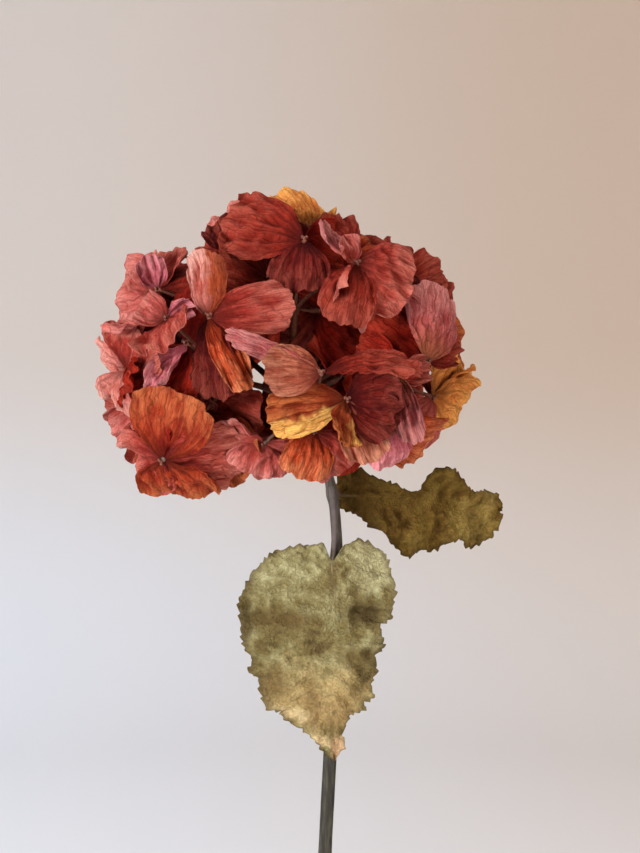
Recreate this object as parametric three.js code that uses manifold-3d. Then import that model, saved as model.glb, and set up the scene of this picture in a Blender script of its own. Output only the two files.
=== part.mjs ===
// A dried mophead hydrangea on one leafy stem, standing in a plain stoneware bottle vase.
// Millimetres, +Z up. The origin is the middle of the vase's base, and the front faces -Y.
// A bloom is four or so papery petals round an eye, and each bloom is one solid on a thin stalk.

import * as THREE from "three";
import { mergeVertices } from "three/addons/utils/BufferGeometryUtils.js";
import Module from "manifold-3d";

const wasm = await Module();
wasm.setup();

// Driving dimensions
const clearance = 0.35; // kept between pieces that touch on the real plant

const vaseHeight = 190;
const vaseBaseRadius = 38;
const vaseBellyRadius = 46;
const vaseNeckRadius = 13;
const vaseLipRadius = 16;
const vaseMouthRadius = 9;
const vaseWall = 4;

const stemRadius = 2.75;
const hub = [-9, 4, 412]; // where the stem ends and the branches of the head start
const headCentre = [-8, 0, 436];
const headHalf = [56, 50, 42]; // from the head's centre to the eyes of the blooms behind
const viewpoint = [4.5, -600, 401]; // where the head's outline is seen from
const branchRadius = 1.3;
const stalkRadius = 0.75;
const eyeRadius = 2.2;

const petalThickness = 0.7;
const leafThickness = 0.9;

// Radius of the head's outline, every 15 degrees from the right side up and over to the left
const headRadii = [
  72, 74, 69, 66, 60, 62, 69, 68, 65, 60, 78, 79, 84, 86, 84, 92, 74, 57, 55, 61, 57, 74, 75, 86,
];

// A bloom's eye, then its petals: tip, width, turn of the face from the front in degrees,
// bow of the blade as a share of its length, and roll of the blade across in degrees
const frontBlooms = [
  {
    eye: [5, -70, 422],
    petals: [
      [[44, -68, 423], 22, -76, 0.08, 10],
      [[-31, -60, 439], 10, -25, 0, 40],
      [[-16, -62, 424], 20, 0, 0.03, -10],
    ],
  },
  {
    eye: [-40, -56, 445],
    petals: [
      [[-44, -54, 470], 18, -12, 0.04, -60],
      [[-8, -56, 450], 19, 0, 0.05, -14],
      [[-26, -58, 417], 14, -25, 0.04, -60],
      [[-30, -44, 416], 20, 20, 0, 5],
    ],
  },
  {
    eye: [15, -54, 412],
    petals: [
      [[-17, -60, 410], 21, -5, 0.03, -12],
      [[16, -60, 393], 15, -35, 0, -20],
      [[37, -64, 415], 22, -15, -0.08, 15],
      [[34, -62, 401], 19, -10, -0.08, 15],
      [[26, -52, 387], 17, 0, 0.05, 0],
    ],
  },
  {
    eye: [19, -52, 467],
    petals: [
      [[14, -60, 443], 20, 0, 0.08, -18],
      [[40, -46, 457], 28, 6, 0.07, -12],
      [[9, -56, 451], 16, -76, 0, 10],
      [[14, -54, 477], 9, 0, 0.05, 40],
      [[5, -44, 482], 10, 30, 0, 10],
    ],
  },
  {
    eye: [-2, -46, 477],
    petals: [
      [[-33, -40, 487], 25, -6, 0.07, -14],
      [[-5, -52, 457], 20, 0, 0.06, -10],
      [[9, -30, 466], 20, 20, 0, 10],
    ],
  },
  {
    eye: [-61, -36, 387],
    petals: [
      [[-54, -38, 411], 22, 0, -0.05, 10],
      [[-34, -32, 386], 21, 0, 0.04, -10],
      [[-57, -28, 368], 24, 0, 0.06, -12],
      [[-75, -26, 381], 21, 0, 0.05, -15],
      [[-70, -34, 409], 18, -10, 0, 10],
    ],
  },
  {
    eye: [-58, -46, 445],
    petals: [
      [[-68, -44, 452], 15, -5, 0.1, 60],
      [[-85, -30, 447], 12, 70, 0, 10],
      [[-56, -62, 434], 24, 0, 0.05, 20],
      [[-48, -44, 450], 9, 60, 0, 10],
    ],
  },
  {
    eye: [49, -38, 428],
    petals: [
      [[54, -30, 454], 21, 8, 0.08, -22],
      [[61, -22, 434], 9, 0, 0, 0],
      [[28, -34, 438], 24, -10, 0, 10],
    ],
  },
  {
    eye: [36, -48, 422],
    petals: [
      [[43, -50, 396], 12, 30, 0.12, 50],
      [[49, -42, 425], 11, 0, 0, 10],
      [[20, -36, 430], 22, -10, 0, 10],
    ],
  },
  {
    eye: [-47, -16, 407],
    petals: [
      [[-23, -14, 410], 29, 0, 0.04, -8],
      [[-31, -20, 383], 25, 0, 0.04, -8],
      [[-59, -12, 402], 20, 0, 0, 0],
      [[-44, -24, 416], 14, 0, 0, 0],
    ],
  },
  {
    eye: [-52, -26, 436],
    petals: [
      [[-63, -38, 419], 9, 0, 0, 60],
      [[-30, -28, 421], 28, 0, 0, 5],
      [[-42, -30, 456], 24, 0, 0, 0],
      [[-57, -18, 412], 24, 0, 0, 0],
    ],
  },
  {
    eye: [-78, -20, 425],
    petals: [
      [[-83, -12, 408], 23, -10, 0.08, -15],
      [[-82, -12, 442], 20, -10, 0.05, -10],
      [[-88, -4, 428], 16, -20, 0.05, 0],
      [[-65, -26, 433], 19, 10, 0.06, 20],
      [[-66, -26, 416], 19, 0, 0.05, 10],
    ],
  },
  {
    eye: [-65, -18, 460],
    petals: [
      [[-75, -12, 474], 17, -10, 0.05, 15],
      [[-62, -14, 477], 12, 0, 0.05, 30],
      [[-49, -20, 470], 20, 0, 0.08, -10],
      [[-83, -4, 459], 21, -15, 0.06, -12],
      [[-68, -22, 471], 9, 40, 0, 60],
      [[-70, -10, 438], 16, 0, 0, 0],
    ],
  },
  {
    eye: [-34, -28, 475],
    petals: [
      [[-40, -26, 487], 12, 0, 0.05, 45],
      [[-30, -22, 489], 12, 0, 0, 40],
      [[-46, -18, 483], 14, 0, 0, 10],
      [[-38, -30, 462], 17, 0, 0, 10],
    ],
  },
  {
    eye: [1, -16, 486],
    petals: [
      [[-3, -12, 509], 13, -5, 0.05, -10],
      [[7, -8, 506], 11, 20, 0.05, 10],
      [[15, -2, 488], 18, 10, 0, 0],
    ],
  },
  {
    eye: [-19, -32, 394],
    petals: [
      [[-34, -36, 399], 11, -20, 0.04, 30],
      [[-24, -30, 379], 23, 0, 0.06, -8],
      [[-9, -24, 385], 19, 0, 0.04, 0],
    ],
  },
  {
    eye: [2, -36, 399],
    petals: [
      [[-3, -38, 377], 21, 0, 0.06, -14],
      [[10, -32, 381], 19, 0, 0.05, -10],
      [[-9, -26, 398], 18, 0, 0, 0],
    ],
  },
  {
    eye: [34, -34, 399],
    petals: [
      [[37, -30, 376], 21, 0, 0.08, -12],
      [[51, -21, 392], 19, 10, 0, 0],
      [[19, -24, 392], 19, 0, 0, 0],
    ],
  },
  {
    eye: [53, -10, 414],
    petals: [
      [[65, -2, 429], 24, 5, 0.06, -8],
      [[77, 6, 415], 20, 10, 0.05, -8],
      [[50, -16, 393], 19, 0, 0.06, -10],
      [[64, -2, 402], 21, 10, 0.05, -8],
      [[38, -6, 432], 20, 0, 0, 0],
    ],
  },
  {
    eye: [42, -34, 453],
    petals: [
      [[33, -38, 437], 21, 0, 0.06, -8],
      [[27, -28, 458], 20, 0, 0, 0],
      [[20, -24, 441], 22, 0, 0, 0],
    ],
  },
  {
    eye: [16, -18, 476],
    petals: [
      [[8, -14, 490], 16, 0, 0.05, 0],
      [[24, -12, 486], 18, 0, 0.05, 0],
      [[35, -8, 472], 18, 0, 0, 0],
    ],
  },
  {
    eye: [40, -20, 462],
    petals: [
      [[53, -12, 468], 13, 0, 0, 15],
      [[54, -12, 452], 18, 10, 0, 0],
      [[44, -8, 475], 17, 10, 0, 0],
    ],
  },
  {
    eye: [53, -4, 449],
    petals: [
      [[53, -4, 463], 14, 0, 0.04, 10],
      [[69, 8, 449], 23, 10, 0.05, -10],
      [[66, 12, 459], 14, 0, 0, 0],
      [[58, 0, 430], 20, 10, 0, 0],
    ],
  },
  {
    eye: [3, -26, 450],
    petals: [
      [[-13, -26, 432], 24, 0, 0.05, 0],
      [[6, -20, 472], 20, 0, 0, 0],
      [[-22, -22, 452], 24, 0, 0, 0],
      [[24, -20, 440], 22, 0, 0, 0],
    ],
  },
  {
    eye: [-17, -30, 463],
    petals: [
      [[-39, -28, 470], 22, 0, 0, 0],
      [[-12, -30, 484], 20, 0, 0, 0],
      [[3, -20, 455], 18, 0, 0, 0],
      [[-29, -22, 444], 22, 0, 0, 0],
    ],
  },
  {
    eye: [-31, 0, 485],
    petals: [
      [[-35, 6, 501], 13, -10, 0.05, 0],
      [[-45, 8, 492], 17, -10, 0, 0],
      [[-19, 7, 497], 17, 0, 0, 0],
    ],
  },
  {
    eye: [-71, -4, 406],
    petals: [
      [[-84, 4, 395], 13, 0, 0.05, 0],
      [[-88, 8, 410], 17, 0, 0, 0],
      [[-66, -2, 391], 18, 0, 0, 0],
    ],
  },
];

// Blooms behind and inside the head: direction from its centre, round from the front and up in
// degrees, and how far out, as a share of the half sizes
const rearBlooms = [
  [175, 76, 1],
  [104, 52, 1],
  [150, 44, 1],
  [-164, 46, 1],
  [-118, 50, 1],
  [88, 22, 1],
  [122, 14, 1],
  [158, 12, 1],
  [-146, 18, 1],
  [-112, 14, 1],
  [-98, 34, 0.85],
  [96, -22, 1],
  [130, -24, 1],
  [146, -38, 1],
  [-127, -28, 1],
  [-100, -12, 0.85],
  [33, 73, 1],
  [-63, 13, 0.6],
  [58, 16, 0.62],
  [-26, 56, 0.75],
  [52, -30, 0.6],
  [62, 52, 0.8],
];

// Leaves. A margin runs from the joint with its stalk to the tip, as [across, along] from the joint
const frontLeaf = {
  joint: [9.7, -13, 342.5],
  along: [0, 0, -1],
  across: [1, 0, 0],
  left: [
    [-1.5, -3], [-4.3, -8.2], [-14, -7], [-24.6, -4.7], [-34, 4.3], [-40.6, 16.4], [-39.3, 30.2],
    [-37.5, 38.8], [-34, 42.3], [-35.8, 47.5], [-32, 50], [-28.5, 63.8], [-22.4, 64.3], [-20.7, 69],
    [-11.6, 72.5], [-5.2, 78.5], [0.9, 86],
  ],
  right: [
    [3, -3], [5.6, -7.3], [11.2, -9.9], [22.4, -4.3], [27.2, 9.5], [25.5, 23.7], [20.5, 25.5],
    [22.4, 37.1], [18.6, 40.1], [19.4, 45.3], [16.8, 52.2], [18, 57.8], [13.4, 59.5], [15, 63.8],
    [8.2, 65], [4, 76], [5.6, 79], [0.9, 86],
  ],
  height: (x, t) =>
    5 * Math.sin((Math.PI * t) / 90) - 0.004 * x * x + 1.3 * Math.sin(0.24 * x + 0.13 * t),
};
const rearLeaf = {
  joint: [12.6, 7, 370.7],
  along: [0.91, 0.39, -0.12],
  across: [0.1, 0.05, 1],
  left: [
    [-2, -3], [-6, 1.5], [-7, 7], [-10, 14.4], [-17.5, 26.7], [-24, 34], [-25, 38.5], [-21, 45.5],
    [-21.5, 50], [-15.5, 61.5], [-13.3, 64.5], [-18.7, 72], [-16, 78], [-12, 83], [0, 86.5],
  ],
  right: [
    [2, -3], [8, -2], [12.9, 7.7], [10, 16], [6.8, 24], [3.6, 38], [11.6, 44.5], [17, 48], [18, 52],
    [12.6, 62.4], [7.6, 66], [9.2, 75], [8.4, 85], [0, 86.5],
  ],
  height: (x, t) =>
    4 * Math.sin((Math.PI * t) / 60) - 0.006 * x * x + 1.2 * Math.sin(0.3 * x + 0.17 * t),
};

// Ends of the branches inside the head
const branchEnds = [
  [2, -34, 412],
  [-30, -22, 420],
  [-28, -6, 446],
  [-6, -28, 450],
  [16, -12, 448],
  [24, -16, 424],
  [-4, 32, 424],
  [22, 24, 432],
  [-32, 24, 434],
  [-6, 12, 462],
];

// Small vector helpers on [x, y, z]
const add = (a, b) => [a[0] + b[0], a[1] + b[1], a[2] + b[2]];
const sub = (a, b) => [a[0] - b[0], a[1] - b[1], a[2] - b[2]];
const scale = (a, k) => [a[0] * k, a[1] * k, a[2] * k];
const dot = (a, b) => a[0] * b[0] + a[1] * b[1] + a[2] * b[2];
const cross = (a, b) => [
  a[1] * b[2] - a[2] * b[1],
  a[2] * b[0] - a[0] * b[2],
  a[0] * b[1] - a[1] * b[0],
];
const size = (a) => Math.hypot(...a);
const unit = (a) => scale(a, 1 / size(a));
const radians = THREE.MathUtils.degToRad;

// The same small seeded draw everywhere
function drawFrom(seed) {
  let state = (Math.imul(seed, 2654435761) + 12345) >>> 0;
  return (low, high) => {
    state = (Math.imul(state, 1664525) + 1013904223) >>> 0;
    return low + (high - low) * (state / 4294967296);
  };
}

function solidOf(points, faces) {
  return new wasm.Manifold(
    new wasm.Mesh({
      numProp: 3,
      vertProperties: Float32Array.from(points.flat()),
      triVerts: Uint32Array.from(faces.flat()),
    }),
  );
}

function solidOfGeometry(geometry) {
  const bare = geometry.clone();
  bare.deleteAttribute("normal");
  bare.deleteAttribute("uv");
  const merged = mergeVertices(bare, 1e-4);
  return new wasm.Manifold(
    new wasm.Mesh({
      numProp: 3,
      vertProperties: Float32Array.from(merged.attributes.position.array),
      triVerts: Uint32Array.from(merged.index.array),
    }),
  );
}

// One body without sealed pockets, loose scraps or edges too short to matter
function wholeBody(solid) {
  const bodies = solid.decompose().filter((body) => body.volume() > 0);
  bodies.sort((a, b) => b.volume() - a.volume());
  return bodies[0].simplify(0.05);
}

function meshOf(name, solid, material) {
  const { vertProperties, triVerts } = solid.getMesh();
  const geometry = new THREE.BufferGeometry();
  geometry.setAttribute("position", new THREE.BufferAttribute(new Float32Array(vertProperties), 3));
  geometry.setIndex(new THREE.BufferAttribute(new Uint32Array(triVerts), 1));
  geometry.computeVertexNormals();
  const mesh = new THREE.Mesh(geometry, material);
  mesh.name = name;
  return mesh;
}

// A round stick along a list of points, with a radius at each
function stick(points, radii, sides) {
  const rings = points.map((point, i) => {
    const before = points[Math.max(i - 1, 0)];
    const after = points[Math.min(i + 1, points.length - 1)];
    const along = unit(sub(after, before));
    const aside = unit(cross(along, Math.abs(along[2]) < 0.9 ? [0, 0, 1] : [1, 0, 0]));
    const third = cross(along, aside);
    return Array.from({ length: sides }, (_, k) => {
      const turn = (2 * Math.PI * k) / sides;
      const spoke = add(scale(aside, Math.cos(turn)), scale(third, Math.sin(turn)));
      return add(point, scale(spoke, radii[i]));
    });
  });
  const faces = [];
  for (let i = 0; i + 1 < rings.length; i++)
    for (let k = 0; k < sides; k++) {
      const a = i * sides + k;
      const b = i * sides + ((k + 1) % sides);
      faces.push([a, b, b + sides], [a, b + sides, a + sides]);
    }
  const last = (rings.length - 1) * sides;
  for (let k = 1; k + 1 < sides; k++) {
    faces.push([0, k + 1, k]);
    faces.push([last, last + k, last + k + 1]);
  }
  return solidOf(rings.flat(), faces);
}

// A small eight-sided ball with one of its points in a given direction
function ball(centre, radius, point = [0, 0, 1]) {
  const turn = new THREE.Quaternion().setFromUnitVectors(
    new THREE.Vector3(0, 0, 1),
    new THREE.Vector3(...point),
  );
  const geometry = new THREE.OctahedronGeometry(radius, 0).applyQuaternion(turn);
  return solidOfGeometry(geometry.translate(...centre));
}

function bend(from, leave, arrive, to, steps) {
  const curve = new THREE.CubicBezierCurve3(
    ...[from, leave, arrive, to].map((p) => new THREE.Vector3(...p)),
  );
  return curve.getPoints(steps).map((p) => p.toArray());
}

// Vase
function vase() {
  const bellyHeight = 0.36 * vaseHeight;
  const shoulderHeight = 0.7 * vaseHeight;
  const outside = new THREE.CatmullRomCurve3(
    [
      [vaseBaseRadius, 2],
      [vaseBaseRadius + 5.5, bellyHeight * 0.45],
      [vaseBellyRadius, bellyHeight],
      [vaseBellyRadius * 0.8, bellyHeight + (shoulderHeight - bellyHeight) * 0.6],
      [vaseNeckRadius + 5, shoulderHeight],
      [vaseNeckRadius, vaseHeight * 0.84],
      [vaseNeckRadius + 0.4, vaseHeight - 9],
      [vaseLipRadius - 0.6, vaseHeight - 2],
    ].map(([x, y]) => new THREE.Vector3(x, y, 0)),
  ).getPoints(10);
  const profile = [new THREE.Vector2(0, 0), new THREE.Vector2(vaseBaseRadius - 2, 0)];
  outside.forEach((p) => profile.push(new THREE.Vector2(p.x, p.y)));
  profile.push(new THREE.Vector2(vaseLipRadius - 1.6, vaseHeight));
  profile.push(new THREE.Vector2(vaseMouthRadius + 1.4, vaseHeight));
  profile.push(new THREE.Vector2(vaseMouthRadius, vaseHeight - 2));
  outside
    .filter((p, i) => i % 2 === 1 && p.y > vaseWall + 2 && p.y < vaseHeight - 8)
    .reverse()
    .forEach((p) => profile.push(new THREE.Vector2(p.x - vaseWall, p.y)));
  profile.push(new THREE.Vector2(vaseBaseRadius - vaseWall - 3, vaseWall));
  profile.push(new THREE.Vector2(0, vaseWall));
  const turned = new THREE.LatheGeometry(profile, 20).rotateX(Math.PI / 2);
  return solidOfGeometry(turned);
}

// Stem: leans on the mouth of the vase, rises past the leaves and curves into the head
function stemLine() {
  const curve = new THREE.CatmullRomCurve3(
    [
      [-1.2, 0, vaseWall + 0.3],
      [2.5, 0, 100],
      [5.9, 0, vaseHeight],
      [6.7, 0, 212],
      [11, 0, 300],
      [12, 0, 350],
      [8.5, 0.5, 378],
      [-1, 2.5, 400],
      hub,
    ].map((p) => new THREE.Vector3(...p)),
    false,
    "centripetal",
  );
  return curve.getPoints(18).map((p) => p.toArray());
}

function stemSolid() {
  const line = stemLine();
  const radii = line.map((p) => (p[2] < 350 ? stemRadius : stemRadius - ((p[2] - 350) / 62) * 0.7));
  let solid = stick(line, radii, 8).add(ball(hub, 4.5));
  branchEnds.forEach((end) => {
    const away = unit(sub(end, hub));
    const rise = add(hub, add(scale(away, 8), [0, 0, 3]));
    const middle = add(scale(add(hub, scale(end, 2)), 1 / 3), [0, 0, 2]);
    const line = bend(hub, rise, middle, end, 3);
    solid = solid.add(stick(line, [1.9, 1.6, branchRadius, branchRadius], 4));
    solid = solid.add(ball(end, 3));
  });
  return solid;
}

function nearestBranchEnd(eye) {
  return branchEnds.reduce((a, b) => (size(sub(b, eye)) < size(sub(a, eye)) ? b : a));
}

// Stalk of one bloom, from the nearest branch end up to the back of its eye
function stalkSolid(eye) {
  const near = nearestBranchEnd(eye);
  const back = unit(sub(near, eye));
  const end = add(eye, scale(back, eyeRadius + clearance));
  const gap = size(sub(end, near));
  const turn = unit(add(unit(sub(near, hub)), scale(unit(sub(end, near)), 1.5)));
  const leave = add(near, scale(turn, gap * 0.3));
  const arrive = add(end, scale(back, gap * 0.3));
  const radii = eye[1] < 20 ? [0.9, stalkRadius, stalkRadius, 0.9] : [0.9, stalkRadius, 0.9];
  return stick(bend(near, leave, arrive, end, radii.length - 1), radii, 3);
}

// Petals
const fanAngle = radians(38);

// A petal's own axes: along it, across it and out of its face
function petalFrame(base, tip, front, turn) {
  const reach = sub(tip, base);
  const along = unit(reach);
  const out = unit(sub(front, scale(along, dot(front, along))));
  const aside = cross(along, out);
  const c = Math.cos(radians(turn));
  const s = Math.sin(radians(turn));
  return {
    length: size(reach),
    along,
    face: add(scale(out, c), scale(aside, s)),
    across: sub(scale(aside, c), scale(out, s)),
  };
}

// A point of the blade: u from -1 to 1 across the fan, v from 0 at the claw to 1 at the edge.
// Its sides swell soon after the claw and run nearly straight near the edge
function petalPoint(petal, u, v) {
  const { length, along, face, across } = petal.frame;
  const rim = 1 - 0.07 * u ** 2 - 0.13 * u ** 8;
  const forward = v * length * rim * Math.cos(u * fanAngle);
  const swell = v * (1.9 - 0.9 * v);
  const aside = (petal.width / 0.99) * swell * rim * Math.sin(u * fanAngle);
  const half = petal.width / 2;
  const roll = radians(petal.roll) || 1e-3;
  const share = forward / length;
  const rise =
    petal.bow * length * 4 * share * (1 - share) +
    (half / roll) * (1 - Math.cos((roll * aside) / half)) +
    petal.ruffle * v * v * Math.sin(petal.waves * Math.PI * u + petal.phase);
  const spread = (half / roll) * Math.sin((roll * aside) / half);
  return add(
    petal.base,
    add(scale(along, forward), add(scale(across, spread), scale(face, rise))),
  );
}

// Rows of the blade above its two points at the claw: a broad petal has more points
const broadPetal = { rowPlaces: [0.4, 0.74, 1], wide: 5 };
const middlePetal = { rowPlaces: [0.52, 1], wide: 5 };
const plainPetal = { rowPlaces: [0.55, 1], wide: 4 };

function petalSolid(petal, thickness) {
  const { rowPlaces, wide } = petal.grid;
  const even = Array.from({ length: wide }, (_, k) => -1 + (2 * k) / (wide - 1));
  const rows = [[0.03, [-1, 1]], ...rowPlaces.map((v) => [v, even])];
  const front = [];
  const back = [];
  const step = 0.01;
  rows.forEach(([v, places]) =>
    places.forEach((u) => {
      const point = petalPoint(petal, u, v);
      const du = sub(petalPoint(petal, u + step, v), petalPoint(petal, u - step, v));
      const dv = sub(petalPoint(petal, u, v + step), petalPoint(petal, u, v - step));
      const lift = scale(unit(cross(du, dv)), thickness / 2);
      front.push(add(point, lift));
      back.push(sub(point, lift));
    }),
  );
  const middle = Math.floor(wide / 2);
  const faces = [[0, 1, 2 + middle]];
  for (let k = 0; k + 1 < wide; k++) faces.push([k < middle ? 0 : 1, 3 + k, 2 + k]);
  for (let row = 0; row + 1 < rowPlaces.length; row++)
    for (let k = 0; k + 1 < wide; k++) {
      const a = 2 + row * wide + k;
      faces.push([a, a + 1, a + wide + 1], [a, a + wide + 1, a + wide]);
    }
  const last = 2 + (rowPlaces.length - 1) * wide;
  const rightEdge = rowPlaces.map((_, row) => 1 + (row + 1) * wide);
  const leftEdge = rowPlaces.map((_, row) => 2 + row * wide).reverse();
  const tipEdge = Array.from({ length: wide - 2 }, (_, k) => last + wide - 2 - k);
  const rim = [0, 1, ...rightEdge, ...tipEdge, ...leftEdge];
  const count = front.length;
  const turned = faces.map(([a, b, c]) => [a + count, c + count, b + count]);
  const walls = rim.flatMap((p, i) => {
    const q = rim[(i + 1) % rim.length];
    return [
      [p + count, q + count, q],
      [p + count, q, p],
    ];
  });
  return solidOf([...front, ...back], [...faces, ...turned, ...walls]);
}

// Ways to bend a petal that would cross another piece: lifted or swung in degrees, and a share
// of its size. They are tried from the least change on
const bends = [];
for (const share of [1.18, 1.08, 1, 0.85, 0.7])
  for (const swing of [0, 10, -10, 20, -20])
    for (const lift of [0, 8, -8, 16, -16, 26, -26, 38, -38])
      bends.push({ share, swing, lift, change: Math.abs(lift) + Math.abs(swing) - 100 * share });
bends.sort((a, b) => a.change - b.change);
const sisterOverlap = 16; // cubic millimetres that two petals may share round their eye

function bentPetal(petal, { share, swing, lift }) {
  const { along, face, across, length } = petalFrame(petal.base, petal.tip, petal.front, petal.turn);
  const raised = add(scale(along, Math.cos(radians(lift))), scale(face, Math.sin(radians(lift))));
  const turned = add(
    scale(raised, Math.cos(radians(swing))),
    scale(across, Math.sin(radians(swing))),
  );
  const tip = add(petal.base, scale(turned, length * share));
  return {
    ...petal,
    width: petal.width * share,
    frame: petalFrame(petal.base, tip, petal.front, petal.turn),
  };
}

function boxOf(solid) {
  const { min, max } = solid.boundingBox();
  return { min, max };
}

function crosses(solid, others, allowed = 1e-5) {
  const box = boxOf(solid);
  return others.some((other) => {
    if (other.box.min.some((low, i) => low > box.max[i] || other.box.max[i] < box.min[i])) return false;
    const common = solid.intersect(other.solid);
    const volume = common.volume();
    common.delete();
    return volume > allowed;
  });
}

// Whether the blade's edge stays within the head's outline
function withinHead(petal) {
  return [-1, -0.5, 0, 0.5, 1].every((u) => {
    const point = petalPoint(petal, u, 1);
    const shrink = viewpoint[1] / (viewpoint[1] - point[1]);
    const x = viewpoint[0] + (point[0] - viewpoint[0]) * shrink - headCentre[0];
    const z = viewpoint[2] + (point[2] - viewpoint[2]) * shrink - headCentre[2];
    const place = ((Math.atan2(z, x) / (2 * Math.PI) + 1) % 1) * headRadii.length;
    const before = Math.floor(place);
    const after = (before + 1) % headRadii.length;
    const radius = headRadii[before] + (headRadii[after] - headRadii[before]) * (place - before);
    return Math.hypot(x, z) < radius + 2;
  });
}

// The petal with the first bend that clears every other piece, and its bloom with it
function clearPetal(petal, bloom, others, sisters) {
  for (const change of bends) {
    if (change.share > petal.most) continue;
    const tried = bentPetal(petal, change);
    if (!withinHead(tried)) continue;
    const probe = petalSolid(tried, petalThickness + 2 * clearance);
    const blocked = crosses(probe, others) || crosses(probe, sisters, sisterOverlap);
    probe.delete();
    if (blocked) continue;
    const solid = petalSolid(tried, petalThickness);
    const grown = bloom.add(solid);
    if (!crosses(grown, others)) return { solid, grown };
  }
  return null;
}

// Blooms: those in front face part outward and part forward
const frontLook = 0.7;

function frontBloom({ eye, petals }, index) {
  const draw = drawFrom(index + 1);
  const outward = unit(sub(eye, headCentre).map((c, i) => c / headHalf[i] ** 2));
  const front = unit(add(outward, [0, -frontLook, 0]));
  const grid = eye[1] < -35 ? broadPetal : middlePetal;
  return {
    eye,
    petals: petals.map(([tip, width, turn, bow, roll]) => ({
      base: eye,
      tip,
      width: width / Math.max(-front[1], 0.5),
      turn,
      bow,
      roll,
      front,
      grid: width > 14 ? grid : plainPetal,
      most: eye[1] > -40 ? 1.18 : 1,
      ruffle: draw(0.6, 1.8),
      waves: draw(1.5, 3.2),
      phase: draw(0, 6.28),
    })),
  };
}

function direction(round, up) {
  const a = radians(round);
  const e = radians(up);
  return [Math.sin(a) * Math.cos(e), -Math.cos(a) * Math.cos(e), Math.sin(e)];
}

function rearBloom([round, up, share], index) {
  const draw = drawFrom(100 + index);
  const out = direction(round, up);
  const eye = headCentre.map((c, i) => c + out[i] * headHalf[i] * share);
  const front = direction(round + draw(-15, 15), up + draw(-15, 15));
  const upward = unit(sub([0, 0, 1], scale(front, front[2])));
  const right = cross(upward, front);
  const start = draw(0, 90);
  const petals = [0, 1, 2, 3].map((k) => {
    const spin = radians(start + 90 * k + draw(-12, 12));
    const cup = radians(draw(-5, 24));
    const length = draw(30, 38);
    const away = add(scale(upward, Math.cos(spin)), scale(right, Math.sin(spin)));
    const reach = add(scale(away, Math.cos(cup)), scale(front, Math.sin(cup)));
    return {
      base: eye,
      tip: add(eye, scale(reach, length)),
      width: length * draw(0.95, 1.2),
      roll: draw(-30, 40),
      bow: draw(-0.05, 0.1),
      turn: draw(-15, 15),
      front,
      grid: plainPetal,
      most: 1.18,
      ruffle: draw(0.6, 1.8),
      waves: draw(1.5, 3.2),
      phase: draw(0, 6.28),
    };
  });
  return { eye, petals };
}

// Leaves
const leafStations = 22;
const toothDepth = 1.3;

// A point at a share of a margin's length, with the direction that the margin runs there
function alongMargin(margin, share) {
  const spans = margin.slice(1).map((p, i) => Math.hypot(p[0] - margin[i][0], p[1] - margin[i][1]));
  let left = share * spans.reduce((a, b) => a + b, 0);
  const i = spans.findIndex((span) => {
    if (left <= span) return true;
    left -= span;
    return false;
  });
  const k = i < 0 ? spans.length - 1 : i;
  const [a, b] = [margin[k], margin[k + 1]];
  const part = i < 0 ? 1 : left / spans[k];
  const run = [(b[0] - a[0]) / spans[k], (b[1] - a[1]) / spans[k]];
  return { point: [a[0] + (b[0] - a[0]) * part, a[1] + (b[1] - a[1]) * part], run };
}

function leafPlace(leaf, [x, t]) {
  const along = unit(leaf.along);
  const across = unit(sub(leaf.across, scale(along, dot(leaf.across, along))));
  const face = cross(along, across);
  const flat = add(leaf.joint, add(scale(along, t), scale(across, x)));
  return { point: add(flat, scale(face, leaf.height(x, t))), face };
}

function leafSolid(leaf, stalk) {
  const reach = leaf.left.at(-1);
  const plan = [];
  for (let i = 0; i < leafStations; i++) {
    const share = i / leafStations;
    const middle = [reach[0] * share ** 1.6, reach[1] * share ** 1.6];
    const tooth = i % 2 === 1 ? toothDepth : 0;
    const [left, right] = [leaf.left, leaf.right].map((margin, side) => {
      const { point, run } = alongMargin(margin, share);
      const outward = side === 0 ? [-run[1], run[0]] : [run[1], -run[0]];
      return [point[0] + outward[0] * tooth, point[1] + outward[1] * tooth];
    });
    const half = (a, b) => [(a[0] + b[0]) / 2, (a[1] + b[1]) / 2];
    plan.push(left, half(left, middle), middle, half(middle, right), right);
  }
  plan.push(reach);
  const tip = plan.length - 1;
  const front = [];
  const back = [];
  plan.forEach((p) => {
    const { point, face } = leafPlace(leaf, p);
    front.push(add(point, scale(face, leafThickness / 2)));
    back.push(sub(point, scale(face, leafThickness / 2)));
  });
  const faces = [];
  for (let i = 0; i + 1 < leafStations; i++)
    for (let k = 0; k < 4; k++) {
      const a = i * 5 + k;
      faces.push([a, a + 5, a + 6], [a, a + 6, a + 1]);
    }
  const lastRow = (leafStations - 1) * 5;
  for (let k = 0; k < 4; k++) faces.push([lastRow + k, tip, lastRow + k + 1]);
  const rows = Array.from({ length: leafStations }, (_, i) => i * 5);
  const rim = [...rows, tip, ...rows.map((a) => a + 4).reverse(), 3, 2, 1];
  const count = front.length;
  const turned = faces.map(([a, b, c]) => [a + count, c + count, b + count]);
  const walls = rim.flatMap((p, i) => {
    const q = rim[(i + 1) % rim.length];
    return [
      [p + count, q + count, q],
      [p + count, q, p],
    ];
  });
  const blade = solidOf([...front, ...back], [...faces, ...turned, ...walls]);
  const rib = [0.02, 0.25, 0.5, 0.75, 0.93].map((share) => {
    const { point, face } = leafPlace(leaf, [reach[0] * share, reach[1] * share]);
    return sub(point, scale(face, 0.5));
  });
  const line = [...stalk, ...rib];
  const radii = line.map((_, i) => (i < stalk.length ? 1.3 : 1.1 - (i - stalk.length) * 0.15));
  return wholeBody(blade.add(stick(line, radii, 4)));
}

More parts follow.
